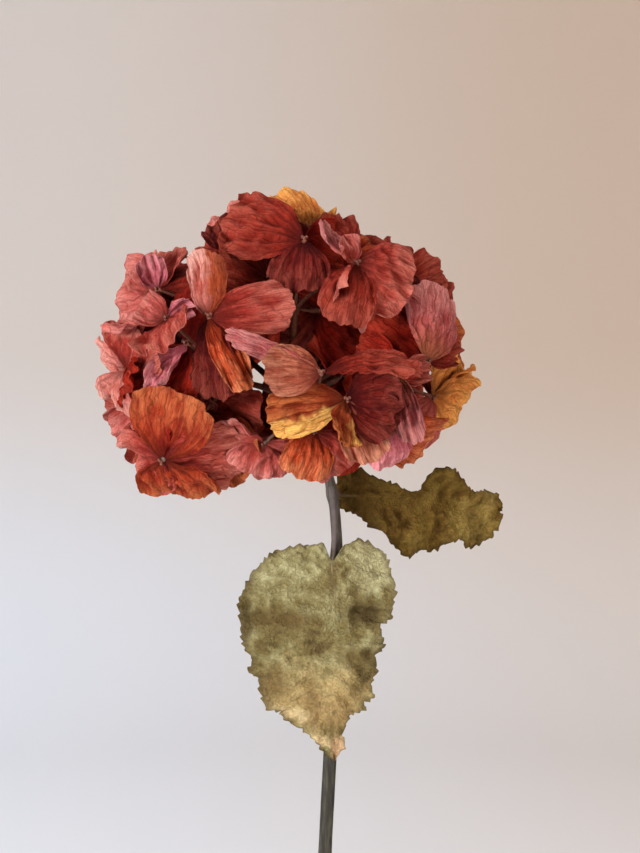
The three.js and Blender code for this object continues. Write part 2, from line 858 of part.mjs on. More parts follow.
const petalPaper = new THREE.MeshStandardMaterial({ color: 0x9a3d2e, roughness: 0.85, metalness: 0 });
const leafPaper = new THREE.MeshStandardMaterial({ color: 0xa3966a, roughness: 0.9, metalness: 0 });
const darkLeafPaper = new THREE.MeshStandardMaterial({ color: 0x6b5026, roughness: 0.9, metalness: 0 });
const bark = new THREE.MeshStandardMaterial({ color: 0x5a5048, roughness: 0.8, metalness: 0 });
const stoneware = new THREE.MeshStandardMaterial({ color: 0xd9d2c6, roughness: 0.75, metalness: 0 });

const blooms = [...frontBlooms.map(frontBloom), ...rearBlooms.map(rearBloom)];
const eyes = blooms.map(({ eye }) => ball(eye, eyeRadius, unit(sub(nearestBranchEnd(eye), eye))));

let stem = stemSolid();
blooms.forEach(({ eye }) => {
  stem = stem.add(stalkSolid(eye));
});
stem = wholeBody(stem);

const leafFront = leafSolid(frontLeaf, [
  [9.9, -stemRadius - clearance, 374],
  [9.3, -7, 368],
  [9.2, -9.5, 358],
  [9.4, -11.5, 348],
]);
const leafRear = leafSolid(rearLeaf, [
  [10.8, stemRadius + clearance, 371],
  [11.6, 5, 371],
]);

const placed = [stem, leafFront, leafRear].map((solid) => ({ solid, box: boxOf(solid) }));
const bloomSolids = blooms.map(({ petals }, index) => {
  const otherEyes = eyes
    .filter((_, i) => i > index)
    .map((solid) => ({ solid, box: boxOf(solid) }));
  let bloom = eyes[index];
  const sisters = [];
  petals.forEach((petal) => {
    const placedPetal = clearPetal(petal, bloom, [...placed, ...otherEyes], sisters);
    if (!placedPetal) return; // no room for it: this bloom has shed the petal
    const { solid, grown } = placedPetal;
    sisters.push({ solid, box: boxOf(solid) });
    bloom = grown;
  });
  bloom = wholeBody(bloom);
  placed.push({ solid: bloom, box: boxOf(bloom) });
  return bloom;
});

const hydrangea = new THREE.Group();
hydrangea.add(meshOf("vase", vase(), stoneware));
hydrangea.add(meshOf("stem", stem, bark));
hydrangea.add(meshOf("leaf_front", leafFront, leafPaper));
hydrangea.add(meshOf("leaf_rear", leafRear, darkLeafPaper));
bloomSolids.forEach((solid, i) => {
  hydrangea.add(meshOf("bloom_" + String(i + 1).padStart(2, "0"), solid, petalPaper));
});

export default hydrangea;
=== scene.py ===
# A dried mophead hydrangea on one leafy stem, in a stoneware bottle vase.
# Sizes are in millimetres and turned to metres as each mesh is made; +Z is up, the front faces -Y.
import math

import bpy
import numpy as np
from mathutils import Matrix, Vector, noise


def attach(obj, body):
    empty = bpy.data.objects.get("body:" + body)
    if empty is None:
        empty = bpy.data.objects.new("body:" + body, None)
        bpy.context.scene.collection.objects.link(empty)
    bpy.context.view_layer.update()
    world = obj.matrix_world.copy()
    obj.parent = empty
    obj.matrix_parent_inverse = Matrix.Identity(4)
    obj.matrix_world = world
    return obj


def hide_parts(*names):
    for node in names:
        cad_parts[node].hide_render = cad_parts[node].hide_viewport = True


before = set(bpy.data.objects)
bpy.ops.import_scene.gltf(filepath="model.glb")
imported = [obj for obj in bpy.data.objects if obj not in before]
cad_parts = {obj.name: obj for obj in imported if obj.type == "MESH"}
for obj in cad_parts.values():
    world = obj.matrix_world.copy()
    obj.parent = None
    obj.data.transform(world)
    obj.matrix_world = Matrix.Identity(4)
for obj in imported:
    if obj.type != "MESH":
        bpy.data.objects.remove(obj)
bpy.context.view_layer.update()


# Camera: held level before the lower part of the head, with the photograph's frame of 640 x 853.
# Its distance is a guess, 600 mm, at which one pixel covers 0.44 mm at the stem.
pixels_per_radian = 1356
photo_height = 853
camera_distance = 0.6
camera_height = 0.401
camera_aside = 0.0045
camera = bpy.data.cameras.new("camera")
camera.sensor_width = 36
camera.lens = camera.sensor_width * pixels_per_radian / photo_height
camera_place = bpy.data.objects.new("camera", camera)
camera_place.location = (camera_aside, -camera_distance, camera_height)
camera_place.rotation_euler = (math.radians(90), 0, 0)
bpy.context.scene.collection.objects.link(camera_place)
bpy.context.scene.camera = camera_place


# Room: one sheet of pale painted board, flat under the vase and swept up all round it, so that no
# edge shows. Painted light makes it cooler and lighter low on the left, and warmer high on the right.
def linear(hex_colour):
    """An sRGB hex colour as linear red, green, blue and an alpha of 1."""
    channels = [int(hex_colour[i : i + 2], 16) / 255 for i in (1, 3, 5)]
    return [c / 12.92 if c <= 0.04045 else ((c + 0.055) / 1.055) ** 2.4 for c in channels] + [1]


def add_node(material, kind, settings=None, inputs=None):
    """Adds a node. An input is a number, a colour, or a link as (node, output)."""
    tree = material.node_tree
    node = tree.nodes.new("ShaderNode" + kind)
    for name, value in (settings or {}).items():
        setattr(node, name, value)
    for name, value in (inputs or {}).items():
        if isinstance(value, tuple) and isinstance(value[0], bpy.types.Node):
            tree.links.new(value[0].outputs[value[1]], node.inputs[name])
        else:
            node.inputs[name].default_value = value
    return node


def new_material(name):
    material = bpy.data.materials.new(name)
    material.use_nodes = True
    material.node_tree.nodes.clear()
    return material


def set_stops(ramp, stops):
    elements = ramp.color_ramp.elements
    while len(elements) < len(stops):
        elements.new(0.5)
    for element, (position, colour) in zip(elements, stops):
        element.position = position
        element.color = linear(colour)


def object_of(name, points_mm, faces):
    """A smooth-shaded object in metres."""
    mesh = bpy.data.meshes.new(name)
    mesh.from_pydata((np.asarray(points_mm) * 0.001).tolist(), [], faces)
    mesh.polygons.foreach_set("use_smooth", [True] * len(mesh.polygons))
    made = bpy.data.objects.new(name, mesh)
    bpy.context.scene.collection.objects.link(made)
    return made


def turned(profile_mm, sides):
    """Points and faces of a profile of (radius, height) turned round the Z axis."""
    points = []
    for radius, height in profile_mm:
        for k in range(sides):
            turn = 2 * math.pi * k / sides
            points.append((radius * math.cos(turn), radius * math.sin(turn), height))
    faces = []
    for i in range(len(profile_mm) - 1):
        for k in range(sides):
            a = i * sides + k
            b = i * sides + (k + 1) % sides
            faces.append((a, b, b + sides, a + sides))
    return points, faces


axis_radius = 0.01  # how near to its axis a turned profile starts
floor_radius = 1100
sweep_radius = 1300
sweep_steps = 24
board_height = 3600
sweep = [(axis_radius, 0), (floor_radius / 2, 0), (floor_radius, 0)]
for step in range(1, sweep_steps + 1):
    turn = math.radians(90 * step / sweep_steps)
    sweep.append((floor_radius + sweep_radius * math.sin(turn), sweep_radius * (1 - math.cos(turn))))
sweep.append((floor_radius + sweep_radius, board_height))
room = object_of("room", *turned(sweep, 96))

# Matte paint: no gloss, so that nothing is mirrored behind the flower
painted_board = new_material("matte painted board")
room_place = add_node(painted_board, "NewGeometry")
room_axes = add_node(painted_board, "SeparateXYZ", {}, {"Vector": (room_place, "Position")})
room_rise = add_node(
    painted_board, "MapRange", {"interpolation_type": "SMOOTHSTEP"},
    {"Value": (room_axes, "Z"), "From Max": 0.6, "To Max": 0.5},
)
room_side = add_node(
    painted_board, "MapRange", {"interpolation_type": "SMOOTHSTEP"},
    {"Value": (room_axes, "X"), "From Min": -0.7, "From Max": 0.7, "To Max": 0.5},
)
room_light_share = add_node(painted_board, "Math", {"operation": "ADD"}, {0: (room_rise, 0), 1: (room_side, 0)})
# Painted light: the board is lighter and cooler low on the left, darker and warmer high on the right
room_painted_light = add_node(painted_board, "ValToRGB", {}, {"Fac": (room_light_share, 0)})
set_stops(room_painted_light, [(0, "#E0E8F2"), (0.5, "#D6CFC9"), (1, "#C9B5A3")])
board_shader = add_node(
    painted_board, "BsdfPrincipled", {}, {"Base Color": (room_painted_light, "Color"), "Roughness": 0.9}
)
add_node(painted_board, "OutputMaterial", {}, {"Surface": (board_shader, 0)})
room.data.materials.append(painted_board)


# Light: a large soft window low on the left in front, a weak white fill on the right,
# and a broad overhead panel that keeps the floor and the vase pale.
def add_panel(name, place, aim, size, watts, colour):
    panel = bpy.data.lights.new(name, "AREA")
    panel.shape = "DISK"
    panel.size = size
    panel.energy = watts
    panel.color = linear(colour)[:3]
    holder = bpy.data.objects.new(name, panel)
    holder.location = place
    holder.rotation_euler = (Vector(aim) - Vector(place)).to_track_quat("-Z", "Y").to_euler()
    holder.visible_camera = False
    bpy.context.scene.collection.objects.link(holder)


add_panel("window", (-1.0, -1.15, 0.5), (0, 0, 0.42), 0.55, 31, "#F6F8FF")
add_panel("fill", (1.15, -1.15, 0.22), (0, 0, 0.4), 0.9, 19.5, "#FFFFFF")
add_panel("overhead", (-0.3, 0.1, 2.4), (0, 0.1, 0), 1.6, 27, "#FFFFFF")
world = bpy.data.worlds.new("room light")
world.use_nodes = True
world.node_tree.nodes["Background"].inputs["Color"].default_value = linear("#ECF0FA")
world.node_tree.nodes["Background"].inputs["Strength"].default_value = 0.52
bpy.context.scene.world = world
bpy.context.scene.view_settings.view_transform = "Standard"


# Vase: a thrown stoneware bottle with a narrow neck, glazed in matte oatmeal down to the foot,
# where the bare clay shows. The wheel leaves faint rings up its side.
vase_height = 190
vase_base_radius = 38
vase_belly_radius = 46
vase_neck_radius = 13
vase_lip_radius = 16
vase_mouth_radius = 9
vase_wall = 4


def through(points, steps):
    """A centripetal Catmull-Rom curve through points, with the same number of steps in all."""
    points = [np.array(p, float) for p in points]
    ends = [2 * points[0] - points[1]] + points + [2 * points[-1] - points[-2]]
    made = []
    for i in range(steps + 1):
        place = i / steps * (len(points) - 1)
        k = min(int(place), len(points) - 2)
        p = ends[k : k + 4]
        gap = [max(np.linalg.norm(p[j + 1] - p[j]), 1e-4) ** 0.5 for j in range(3)]
        leave = (p[1] - p[0]) / gap[0] - (p[2] - p[0]) / (gap[0] + gap[1]) + (p[2] - p[1]) / gap[1]
        arrive = (p[2] - p[1]) / gap[1] - (p[3] - p[1]) / (gap[1] + gap[2]) + (p[3] - p[2]) / gap[2]
        leave, arrive = leave * gap[1], arrive * gap[1]
        t = place - k
        made.append(
            p[1]
            + leave * t
            + (3 * (p[2] - p[1]) - 2 * leave - arrive) * t**2
            + (2 * (p[1] - p[2]) + leave + arrive) * t**3
        )
    return made


belly_height = 0.36 * vase_height
shoulder_height = 0.7 * vase_height
vase_outside = through(
    [
        (vase_base_radius, 2),
        (vase_base_radius + 5.5, belly_height * 0.45),
        (vase_belly_radius, belly_height),
        (vase_belly_radius * 0.8, belly_height + (shoulder_height - belly_height) * 0.6),
        (vase_neck_radius + 5, shoulder_height),
        (vase_neck_radius, vase_height * 0.84),
        (vase_neck_radius + 0.4, vase_height - 9),
        (vase_lip_radius - 0.6, vase_height - 2),
    ],
    120,
)
ring_depth = 0.12
foot_hollow = 0.9
lip_rise = 1.6
lip_middle = (vase_lip_radius + vase_mouth_radius) / 2
lip_half = (vase_lip_radius - vase_mouth_radius) / 2 - 0.5
vase_profile = [
    (axis_radius, foot_hollow),
    (vase_base_radius - 8, foot_hollow),
    (vase_base_radius - 6, 0),
    (vase_base_radius - 2, 0),
    (vase_base_radius - 0.5, 0.7),
]
for radius, height in vase_outside:
    vase_profile.append((radius + ring_depth * math.sin(height * 1.1) * math.sin(height * 0.37), height))
for turn in range(0, 181, 20):
    angle = math.radians(turn)
    lip_height = vase_height - lip_rise + lip_rise * math.sin(angle)
    vase_profile.append((lip_middle + lip_half * math.cos(angle), lip_height))
for radius, height in reversed(vase_outside):
    if vase_wall + 2 < height < vase_height - 8:
        vase_profile.append((radius - vase_wall, height))
vase_profile.append((vase_base_radius - vase_wall - 3, vase_wall))
vase_profile.append((axis_radius, vase_wall))
vase = object_of("bottle_vase", *turned(vase_profile, 144))

# Stoneware glaze: matte, softly clouded and specked with iron. The bare clay of the foot is darker
# and rougher.
oatmeal_glaze = new_material("matte oatmeal stoneware glaze")
glaze_place = add_node(oatmeal_glaze, "TexCoord")
glaze_axes = add_node(oatmeal_glaze, "SeparateXYZ", {}, {"Vector": (glaze_place, "Object")})
# Iron specks 0.4 to 1 mm across, in cells of 3 mm
speck_cells = add_node(
    oatmeal_glaze, "TexVoronoi", {"feature": "F1"}, {"Vector": (glaze_place, "Object"), "Scale": 330.0}
)
speck_size = add_node(oatmeal_glaze, "SeparateColor", {}, {"Color": (speck_cells, "Color")})
speck_edge = add_node(
    oatmeal_glaze, "MapRange", {}, {"Value": (speck_size, "Red"), "From Min": 0.55, "To Max": 0.22}
)
speck_mask = add_node(
    oatmeal_glaze, "Math", {"operation": "LESS_THAN"}, {0: (speck_cells, "Distance"), 1: (speck_edge, 0)}
)
# Clouds of about 35 mm, and grain of about 1 mm
glaze_cloud = add_node(
    oatmeal_glaze, "TexNoise", {}, {"Vector": (glaze_place, "Object"), "Scale": 28.0, "Detail": 4.0}
)
glaze_tone = add_node(oatmeal_glaze, "ValToRGB", {}, {"Fac": (glaze_cloud, "Fac")})
set_stops(glaze_tone, [(0.3, "#CFC6B4"), (0.7, "#DDD6C7")])
glaze_specked = add_node(
    oatmeal_glaze, "Mix", {"data_type": "RGBA"},
    {0: (speck_mask, 0), 6: (glaze_tone, "Color"), 7: linear("#7A6248")},
)
foot_waver = add_node(
    oatmeal_glaze, "TexNoise", {}, {"Vector": (glaze_place, "Object"), "Scale": 22.0, "Detail": 1.0}
)
foot_line = add_node(
    oatmeal_glaze, "Math", {"operation": "MULTIPLY_ADD"}, {0: (foot_waver, "Fac"), 1: 0.003, 2: 0.0065}
)
foot_bare = add_node(
    oatmeal_glaze, "Math", {"operation": "LESS_THAN"}, {0: (glaze_axes, "Z"), 1: (foot_line, 0)}
)
glaze_colour = add_node(
    oatmeal_glaze, "Mix", {"data_type": "RGBA"},
    {0: (foot_bare, 0), 6: (glaze_specked, 2), 7: linear("#A98463")},
)
foot_roughness = add_node(
    oatmeal_glaze, "MapRange", {}, {"Value": (foot_bare, 0), "To Min": 0.42, "To Max": 0.85}
)
clay_grain = add_node(
    oatmeal_glaze, "TexNoise", {}, {"Vector": (glaze_place, "Object"), "Scale": 900.0, "Detail": 3.0}
)
glaze_bump = add_node(
    oatmeal_glaze, "Bump", {}, {"Height": (clay_grain, "Fac"), "Strength": 0.25, "Distance": 0.0002}
)
glaze_shader = add_node(
    oatmeal_glaze, "BsdfPrincipled", {},
    {
        "Base Color": (glaze_colour, 2),
        "Roughness": (foot_roughness, 0),
        "IOR": 1.52,
        "Normal": (glaze_bump, 0),
    },
)
add_node(oatmeal_glaze, "OutputMaterial", {}, {"Surface": (glaze_shader, 0)})
vase.data.materials.append(oatmeal_glaze)
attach(vase, "root")
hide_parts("vase")


# Stem: a dry woody shoot, ribbed along its length, that leans on the vase's mouth and bends into
# the head, where it parts into branches. It swells into a ring where the two leaves join it.
stem_radius = 2.75
leaf_ring_height = 371
hub = np.array([-9.0, 4, 412])
stem_line = through(
    [
        (-1.2, 0, vase_wall + 0.3),
        (2.5, 0, 100),
        (5.9, 0, vase_height),
        (6.7, 0, 212),
        (11, 0, 300),
        (12, 0, 350),
        (8.5, 0.5, 378),
        (-1, 2.5, 400),
        hub,
    ],
    160,
)
branch_ends = np.array(
    [
        (2, -34, 412),
        (-30, -22, 420),
        (-28, -6, 446),
        (-6, -28, 450),
        (16, -12, 448),
        (24, -16, 424),
        (-4, 32, 424),
        (22, 24, 432),
        (-32, 24, 434),
        (-6, 12, 462),
    ],
    float,
)


def unit(vector):
    return vector / np.linalg.norm(vector)


def bend(start, leave, arrive, end, steps):
    """Points of a cubic bend."""
    made = []
    for i in range(steps + 1):
        t = i / steps
        s = 1 - t
        made.append(start * s**3 + 3 * leave * s * s * t + 3 * arrive * s * t * t + end * t**3)
    return made


def stick(points, radii, sides, ribs=0.0):
    """Points and faces of a round stick along a line, closed at both ends, with ribs along it."""
    points = np.array(points)
    runs = np.gradient(points, axis=0)
    made = []
    spoke = np.cross(runs[0], (0, 0.3, 1) if abs(unit(runs[0])[2]) < 0.9 else (1, 0.2, 0))
    for point, run, radius in zip(points, runs, radii):
        run = unit(run)
        spoke = unit(spoke - run * np.dot(spoke, run))
        third = np.cross(run, spoke)
        for k in range(sides):
            turn = 2 * math.pi * k / sides
            reach = radius * (1 + ribs * math.sin(turn * 6 + point[2] * 0.02))
            made.append(point + reach * (spoke * math.cos(turn) + third * math.sin(turn)))
    rings = len(points)
    faces = []
    for i in range(rings - 1):
        for k in range(sides):
            a = i * sides + k
            b = i * sides + (k + 1) % sides
            faces.append((a, b, b + sides, a + sides))
    faces.append(tuple(range(sides - 1, -1, -1)))
    faces.append(tuple((rings - 1) * sides + k for k in range(sides)))
    return made, faces


def gather(parts):
    """Several lots of points and faces as one."""
    points = []
    faces = []
    for some_points, some_faces in parts:
        start = len(points)
        points.extend(some_points)
        faces.extend(tuple(start + i for i in face) for face in some_faces)
    return points, faces


def ball(centre, radius, rings=7, sides=10):
    """Points and faces of a ball."""
    made = [(0.0, 0.0, -1.0)]
    for i in range(1, rings):
        up = -math.pi / 2 + math.pi * i / rings
        for k in range(sides):
            turn = 2 * math.pi * k / sides
            made.append((math.cos(up) * math.cos(turn), math.cos(up) * math.sin(turn), math.sin(up)))
    made.append((0.0, 0.0, 1.0))
    faces = [(0, 1 + (k + 1) % sides, 1 + k) for k in range(sides)]
    for i in range(rings - 2):
        for k in range(sides):
            a = 1 + i * sides + k
            b = 1 + i * sides + (k + 1) % sides
            faces.append((a, b, b + sides, a + sides))
    top = len(made) - 1
    faces += [(top, top - sides + k, top - sides + (k + 1) % sides) for k in range(sides)]
    scaled = np.array(made) * radius + np.array(centre)
    return list(scaled), faces


stem_radii = []
for point in stem_line:
    taper = float(np.interp(point[2], [290, 345, 412], [-0.2, 0.35, 0.7]))
    ring = 0.6 * math.exp(-(((point[2] - leaf_ring_height) / 3.2) ** 2))
    knots = 0.12 * noise.noise(Vector((0, 0, point[2] * 0.12)))
    stem_radii.append(stem_radius - taper + ring + knots)
stem_parts = [stick(stem_line, stem_radii, 24, 0.035), ball(hub, 4.4)]
for end in branch_ends:
    away = unit(end - hub)
    line = bend(hub, hub + away * 8 + (0, 0, 3), (hub + 2 * end) / 3 + (0, 0, 2), end, 14)
    stem_parts.append(stick(line, np.interp(range(15), [0, 5, 10, 14], [1.9, 1.6, 1.3, 1.3]), 10, 0.05))
    stem_parts.append(ball(end, 2.2))


# Blooms: about four papery petals round a small bud. Those in front are placed one by one after
# the photograph, and those behind by a rule with a seeded draw. A petal is pressed dry: pleated
# along its veins, crimped at its edge and curled.
head_centre = np.array([-8.0, 0, 436])
head_half = np.array([56.0, 50, 42])
front_look = 0.7
fan_angle = math.radians(38)
eye_radius = 2.2
clearance = 0.35
solid_thickness = 0.7
petal_thickness = 0.24

# Each front bloom: its eye, then its petals as tip, width, turn, bow, roll and tone
front_blooms = [
    ((5, -70, 422), [
        ((44, -68, 423), 22, -76, 0.08, 10, "rust"),
        ((-31, -60, 439), 10, -25, 0, 40, "mauve"),
        ((-16, -62, 424), 20, 0, 0.03, -10, "peach"),
    ]),
    ((-40, -56, 445), [
        ((-44, -54, 470), 18, -12, 0.04, -60, "cream"),
        ((-8, -56, 450), 19, 0, 0.05, -14, "brick"),
        ((-26, -58, 417), 14, -25, 0.04, -60, "flame"),
        ((-30, -44, 416), 20, 20, 0, 5, "plum"),
    ]),
    ((15, -54, 412), [
        ((-17, -60, 410), 21, -5, 0.03, -12, "amber"),
        ((16, -60, 393), 15, -35, 0, -20, "amber"),
        ((37, -64, 415), 22, -15, -0.08, 15, "plum"),
        ((34, -62, 401), 19, -10, -0.08, 15, "plum"),
        ((26, -52, 387), 17, 0, 0.05, 0, "peach"),
    ]),
    ((19, -52, 467), [
        ((14, -60, 443), 20, 0, 0.08, -18, "rust"),
        ((40, -46, 457), 28, 6, 0.07, -12, "brick"),
        ((9, -56, 451), 16, -76, 0, 10, "brick"),
        ((14, -54, 477), 9, 0, 0.05, 40, "salmon"),
        ((5, -44, 482), 10, 30, 0, 10, "mauve"),
    ]),
    ((-2, -46, 477), [
        ((-33, -40, 487), 25, -6, 0.07, -14, "rust"),
        ((-5, -52, 457), 20, 0, 0.06, -10, "plum"),
        ((9, -30, 466), 20, 20, 0, 10, "maroon"),
    ]),
    ((-61, -36, 387), [
        ((-54, -38, 411), 22, 0, -0.05, 10, "ember"),
        ((-34, -32, 386), 21, 0, 0.04, -10, "brick"),
        ((-57, -28, 368), 24, 0, 0.06, -12, "ember"),
        ((-75, -26, 381), 21, 0, 0.05, -15, "brick"),
        ((-70, -34, 409), 18, -10, 0, 10, "maroon"),
    ]),
    ((-58, -46, 445), [
        ((-68, -44, 452), 15, -5, 0.1, 60, "salmon"),
        ((-85, -30, 447), 12, 70, 0, 10, "salmon"),
        ((-56, -62, 434), 24, 0, 0.05, 20, "brick"),
        ((-48, -44, 450), 9, 60, 0, 10, "rose"),
    ]),
    ((49, -38, 428), [
        ((54, -30, 454), 21, 8, 0.08, -22, "mauve"),
        ((61, -22, 434), 9, 0, 0, 0, "rust"),
        ((28, -34, 438), 24, -10, 0, 10, "maroon"),
    ]),
    ((36, -48, 422), [
        ((43, -50, 396), 12, 30, 0.12, 50, "mauve"),
        ((49, -42, 425), 11, 0, 0, 10, "brick"),
        ((20, -36, 430), 22, -10, 0, 10, "maroon"),
    ]),
    ((-47, -16, 407), [
        ((-23, -14, 410), 29, 0, 0.04, -8, "rust"),
        ((-31, -20, 383), 25, 0, 0.04, -8, "ember"),
        ((-59, -12, 402), 20, 0, 0, 0, "maroon"),
        ((-44, -24, 416), 14, 0, 0, 0, "brick"),
    ]),
    ((-52, -26, 436), [
        ((-63, -38, 419), 9, 0, 0, 60, "rose"),
        ((-30, -28, 421), 28, 0, 0, 5, "rust"),
        ((-42, -30, 456), 24, 0, 0, 0, "umber"),
        ((-57, -18, 412), 24, 0, 0, 0, "maroon"),
    ]),
    ((-78, -20, 425), [
        ((-83, -12, 408), 23, -10, 0.08, -15, "blush"),
        ((-82, -12, 442), 20, -10, 0.05, -10, "salmon"),
        ((-88, -4, 428), 16, -20, 0.05, 0, "blush"),
        ((-65, -26, 433), 19, 10, 0.06, 20, "brick"),
        ((-66, -26, 416), 19, 0, 0.05, 10, "maroon"),
    ]),
    ((-65, -18, 460), [
        ((-75, -12, 474), 17, -10, 0.05, 15, "salmon"),
        ((-62, -14, 477), 12, 0, 0.05, 30, "brick"),
        ((-49, -20, 470), 20, 0, 0.08, -10, "rust"),
        ((-83, -4, 459), 21, -15, 0.06, -12, "salmon"),
        ((-68, -22, 471), 9, 40, 0, 60, "rose"),
        ((-70, -10, 438), 16, 0, 0, 0, "rust"),
    ]),
    ((-34, -28, 475), [
        ((-40, -26, 487), 12, 0, 0.05, 45, "plum"),
        ((-30, -22, 489), 12, 0, 0, 40, "plum"),
        ((-46, -18, 483), 14, 0, 0, 10, "rust"),
        ((-38, -30, 462), 17, 0, 0, 10, "rust"),
    ]),
    ((1, -16, 486), [
        ((-3, -12, 509), 13, -5, 0.05, -10, "ochre"),
        ((7, -8, 506), 11, 20, 0.05, 10, "ochre"),
        ((15, -2, 488), 18, 10, 0, 0, "brick"),
    ]),
    ((-19, -32, 394), [
        ((-34, -36, 399), 11, -20, 0.04, 30, "salmon"),
        ((-24, -30, 379), 23, 0, 0.06, -8, "salmon"),
        ((-9, -24, 385), 19, 0, 0.04, 0, "salmon"),
    ]),
    ((2, -36, 399), [
        ((-3, -38, 377), 21, 0, 0.06, -14, "flame"),
        ((10, -32, 381), 19, 0, 0.05, -10, "brick"),
        ((-9, -26, 398), 18, 0, 0, 0, "rust"),
    ]),
    ((34, -34, 399), [
        ((37, -30, 376), 21, 0, 0.08, -12, "rose"),
        ((51, -21, 392), 19, 10, 0, 0, "flame"),
        ((19, -24, 392), 19, 0, 0, 0, "rust"),
    ]),
    ((53, -10, 414), [
        ((65, -2, 429), 24, 5, 0.06, -8, "ochre"),
        ((77, 6, 415), 20, 10, 0.05, -8, "ochre"),
        ((50, -16, 393), 19, 0, 0.06, -10, "salmon"),
        ((64, -2, 402), 21, 10, 0.05, -8, "ochre"),
        ((38, -6, 432), 20, 0, 0, 0, "rust"),
    ]),
    ((42, -34, 453), [
        ((33, -38, 437), 21, 0, 0.06, -8, "brick"),
        ((27, -28, 458), 20, 0, 0, 0, "plum"),
        ((20, -24, 441), 22, 0, 0, 0, "maroon"),
    ]),
    ((16, -18, 476), [
        ((8, -14, 490), 16, 0, 0.05, 0, "rust"),
        ((24, -12, 486), 18, 0, 0.05, 0, "ember"),
        ((35, -8, 472), 18, 0, 0, 0, "rust"),
    ]),
    ((40, -20, 462), [
        ((53, -12, 468), 13, 0, 0, 15, "rust"),
        ((54, -12, 452), 18, 10, 0, 0, "plum"),
        ((44, -8, 475), 17, 10, 0, 0, "rust"),
    ]),
    ((53, -4, 449), [
        ((53, -4, 463), 14, 0, 0.04, 10, "rust"),
        ((69, 8, 449), 23, 10, 0.05, -10, "ember"),
        ((66, 12, 459), 14, 0, 0, 0, "peach"),
        ((58, 0, 430), 20, 10, 0, 0, "rust"),
    ]),
    ((3, -26, 450), [
        ((-13, -26, 432), 24, 0, 0.05, 0, "rust"),
        ((6, -20, 472), 20, 0, 0, 0, "maroon"),
        ((-22, -22, 452), 24, 0, 0, 0, "maroon"),
        ((24, -20, 440), 22, 0, 0, 0, "umber"),
    ]),
    ((-17, -30, 463), [
        ((-39, -28, 470), 22, 0, 0, 0, "rust"),
        ((-12, -30, 484), 20, 0, 0, 0, "plum"),
        ((3, -20, 455), 18, 0, 0, 0, "maroon"),
        ((-29, -22, 444), 22, 0, 0, 0, "maroon"),
    ]),
    ((-31, 0, 485), [
        ((-35, 6, 501), 13, -10, 0.05, 0, "salmon"),
        ((-45, 8, 492), 17, -10, 0, 0, "brick"),
        ((-19, 7, 497), 17, 0, 0, 0, "rust"),
    ]),
    ((-71, -4, 406), [
        ((-84, 4, 395), 13, 0, 0.05, 0, "salmon"),
        ((-88, 8, 410), 17, 0, 0, 0, "brick"),
        ((-66, -2, 391), 18, 0, 0, 0, "rust"),
    ]),
]
# Each bloom behind: direction from the head's centre, round and up in degrees, and share out. Those
# under the inner share fill the inside of the head and are maroon.
inner_share = 0.8
rear_blooms = [
    (175, 76, 1), (104, 52, 1), (150, 44, 1), (-164, 46, 1), (-118, 50, 1), (88, 22, 1),
    (122, 14, 1), (158, 12, 1), (-146, 18, 1), (-112, 14, 1), (-98, 34, 0.85), (96, -22, 1),
    (130, -24, 1), (146, -38, 1), (-127, -28, 1), (-100, -12, 0.85), (33, 73, 1), (-63, 13, 0.6),
    (58, 16, 0.62), (-26, 56, 0.75), (52, -30, 0.6), (62, 52, 0.8),
]
rear_tones = ["rust", "brick", "ember", "salmon", "rust", "mauve", "maroon", "brick", "ochre", "plum"]


def seeded_draw(seed):
    """A function that draws numbers between two bounds, the same ones for the same seed."""
    state = [(seed * 2654435761 + 12345) % 2**32]

    def draw(low, high):
        state[0] = (state[0] * 1664525 + 1013904223) % 2**32
        return low + (high - low) * state[0] / 2**32

    return draw


def direction(around, up):
    """A unit vector from degrees round from the front and degrees up."""
    a = math.radians(around)
    e = math.radians(up)
    return np.array([math.sin(a) * math.cos(e), -math.cos(a) * math.cos(e), math.sin(e)])


def front_bloom(entry, index):
    """Eye and petals of a bloom that is placed after the photograph."""
    eye, petals = np.array(entry[0], float), []
    draw = seeded_draw(index + 1)
    outward = unit((eye - head_centre) / head_half**2)
    front = unit(outward + np.array([0, -front_look, 0]))
    for tip, width, turn, bow, roll, tone in entry[1]:
        petals.append({
            "base": eye, "tip": np.array(tip, float), "width": width / max(-front[1], 0.5),
            "turn": turn, "bow": bow, "roll": roll, "front": front, "tone": tone,
            "ruffle": draw(0.6, 1.8), "waves": draw(1.5, 3.2), "phase": draw(0, 6.28),
        })
    return eye, petals


def rear_bloom(entry, index):
    """Eye and petals of a bloom that follows the rule."""
    around, up, share = entry
    draw = seeded_draw(100 + index)
    eye = head_centre + direction(around, up) * head_half * share
    front = direction(around + draw(-15, 15), up + draw(-15, 15))
    upward = unit(np.array([0, 0, 1]) - front * front[2])
    right = np.cross(upward, front)
    start = draw(0, 90)
    petals = []
    for k in range(4):
        spin = math.radians(start + 90 * k + draw(-12, 12))
        cup = math.radians(draw(-5, 24))
        length = draw(30, 38)
        away = upward * math.cos(spin) + right * math.sin(spin)
        reach = away * math.cos(cup) + front * math.sin(cup)
        tone = rear_tones[(index * 3 + k) % len(rear_tones)]
        if share < inner_share:
            tone = "maroon"
        petals.append({
            "base": eye, "tip": eye + reach * length, "width": length * draw(0.95, 1.2),
            "roll": draw(-30, 40), "bow": draw(-0.05, 0.1), "turn": draw(-15, 15),
            "front": front, "tone": tone,
            "ruffle": draw(0.6, 1.8), "waves": draw(1.5, 3.2), "phase": draw(0, 6.28),
        })
    return eye, petals


def petal_axes(base, tip, front, turn):
    """Length, along, out of the face, and across."""
    reach = tip - base
    length = np.linalg.norm(reach)
    along = reach / length
    out = unit(front - along * np.dot(front, along))
    aside = np.cross(along, out)
    c, s = math.cos(math.radians(turn)), math.sin(math.radians(turn))
    return length, along, out * c + aside * s, aside * c - out * s


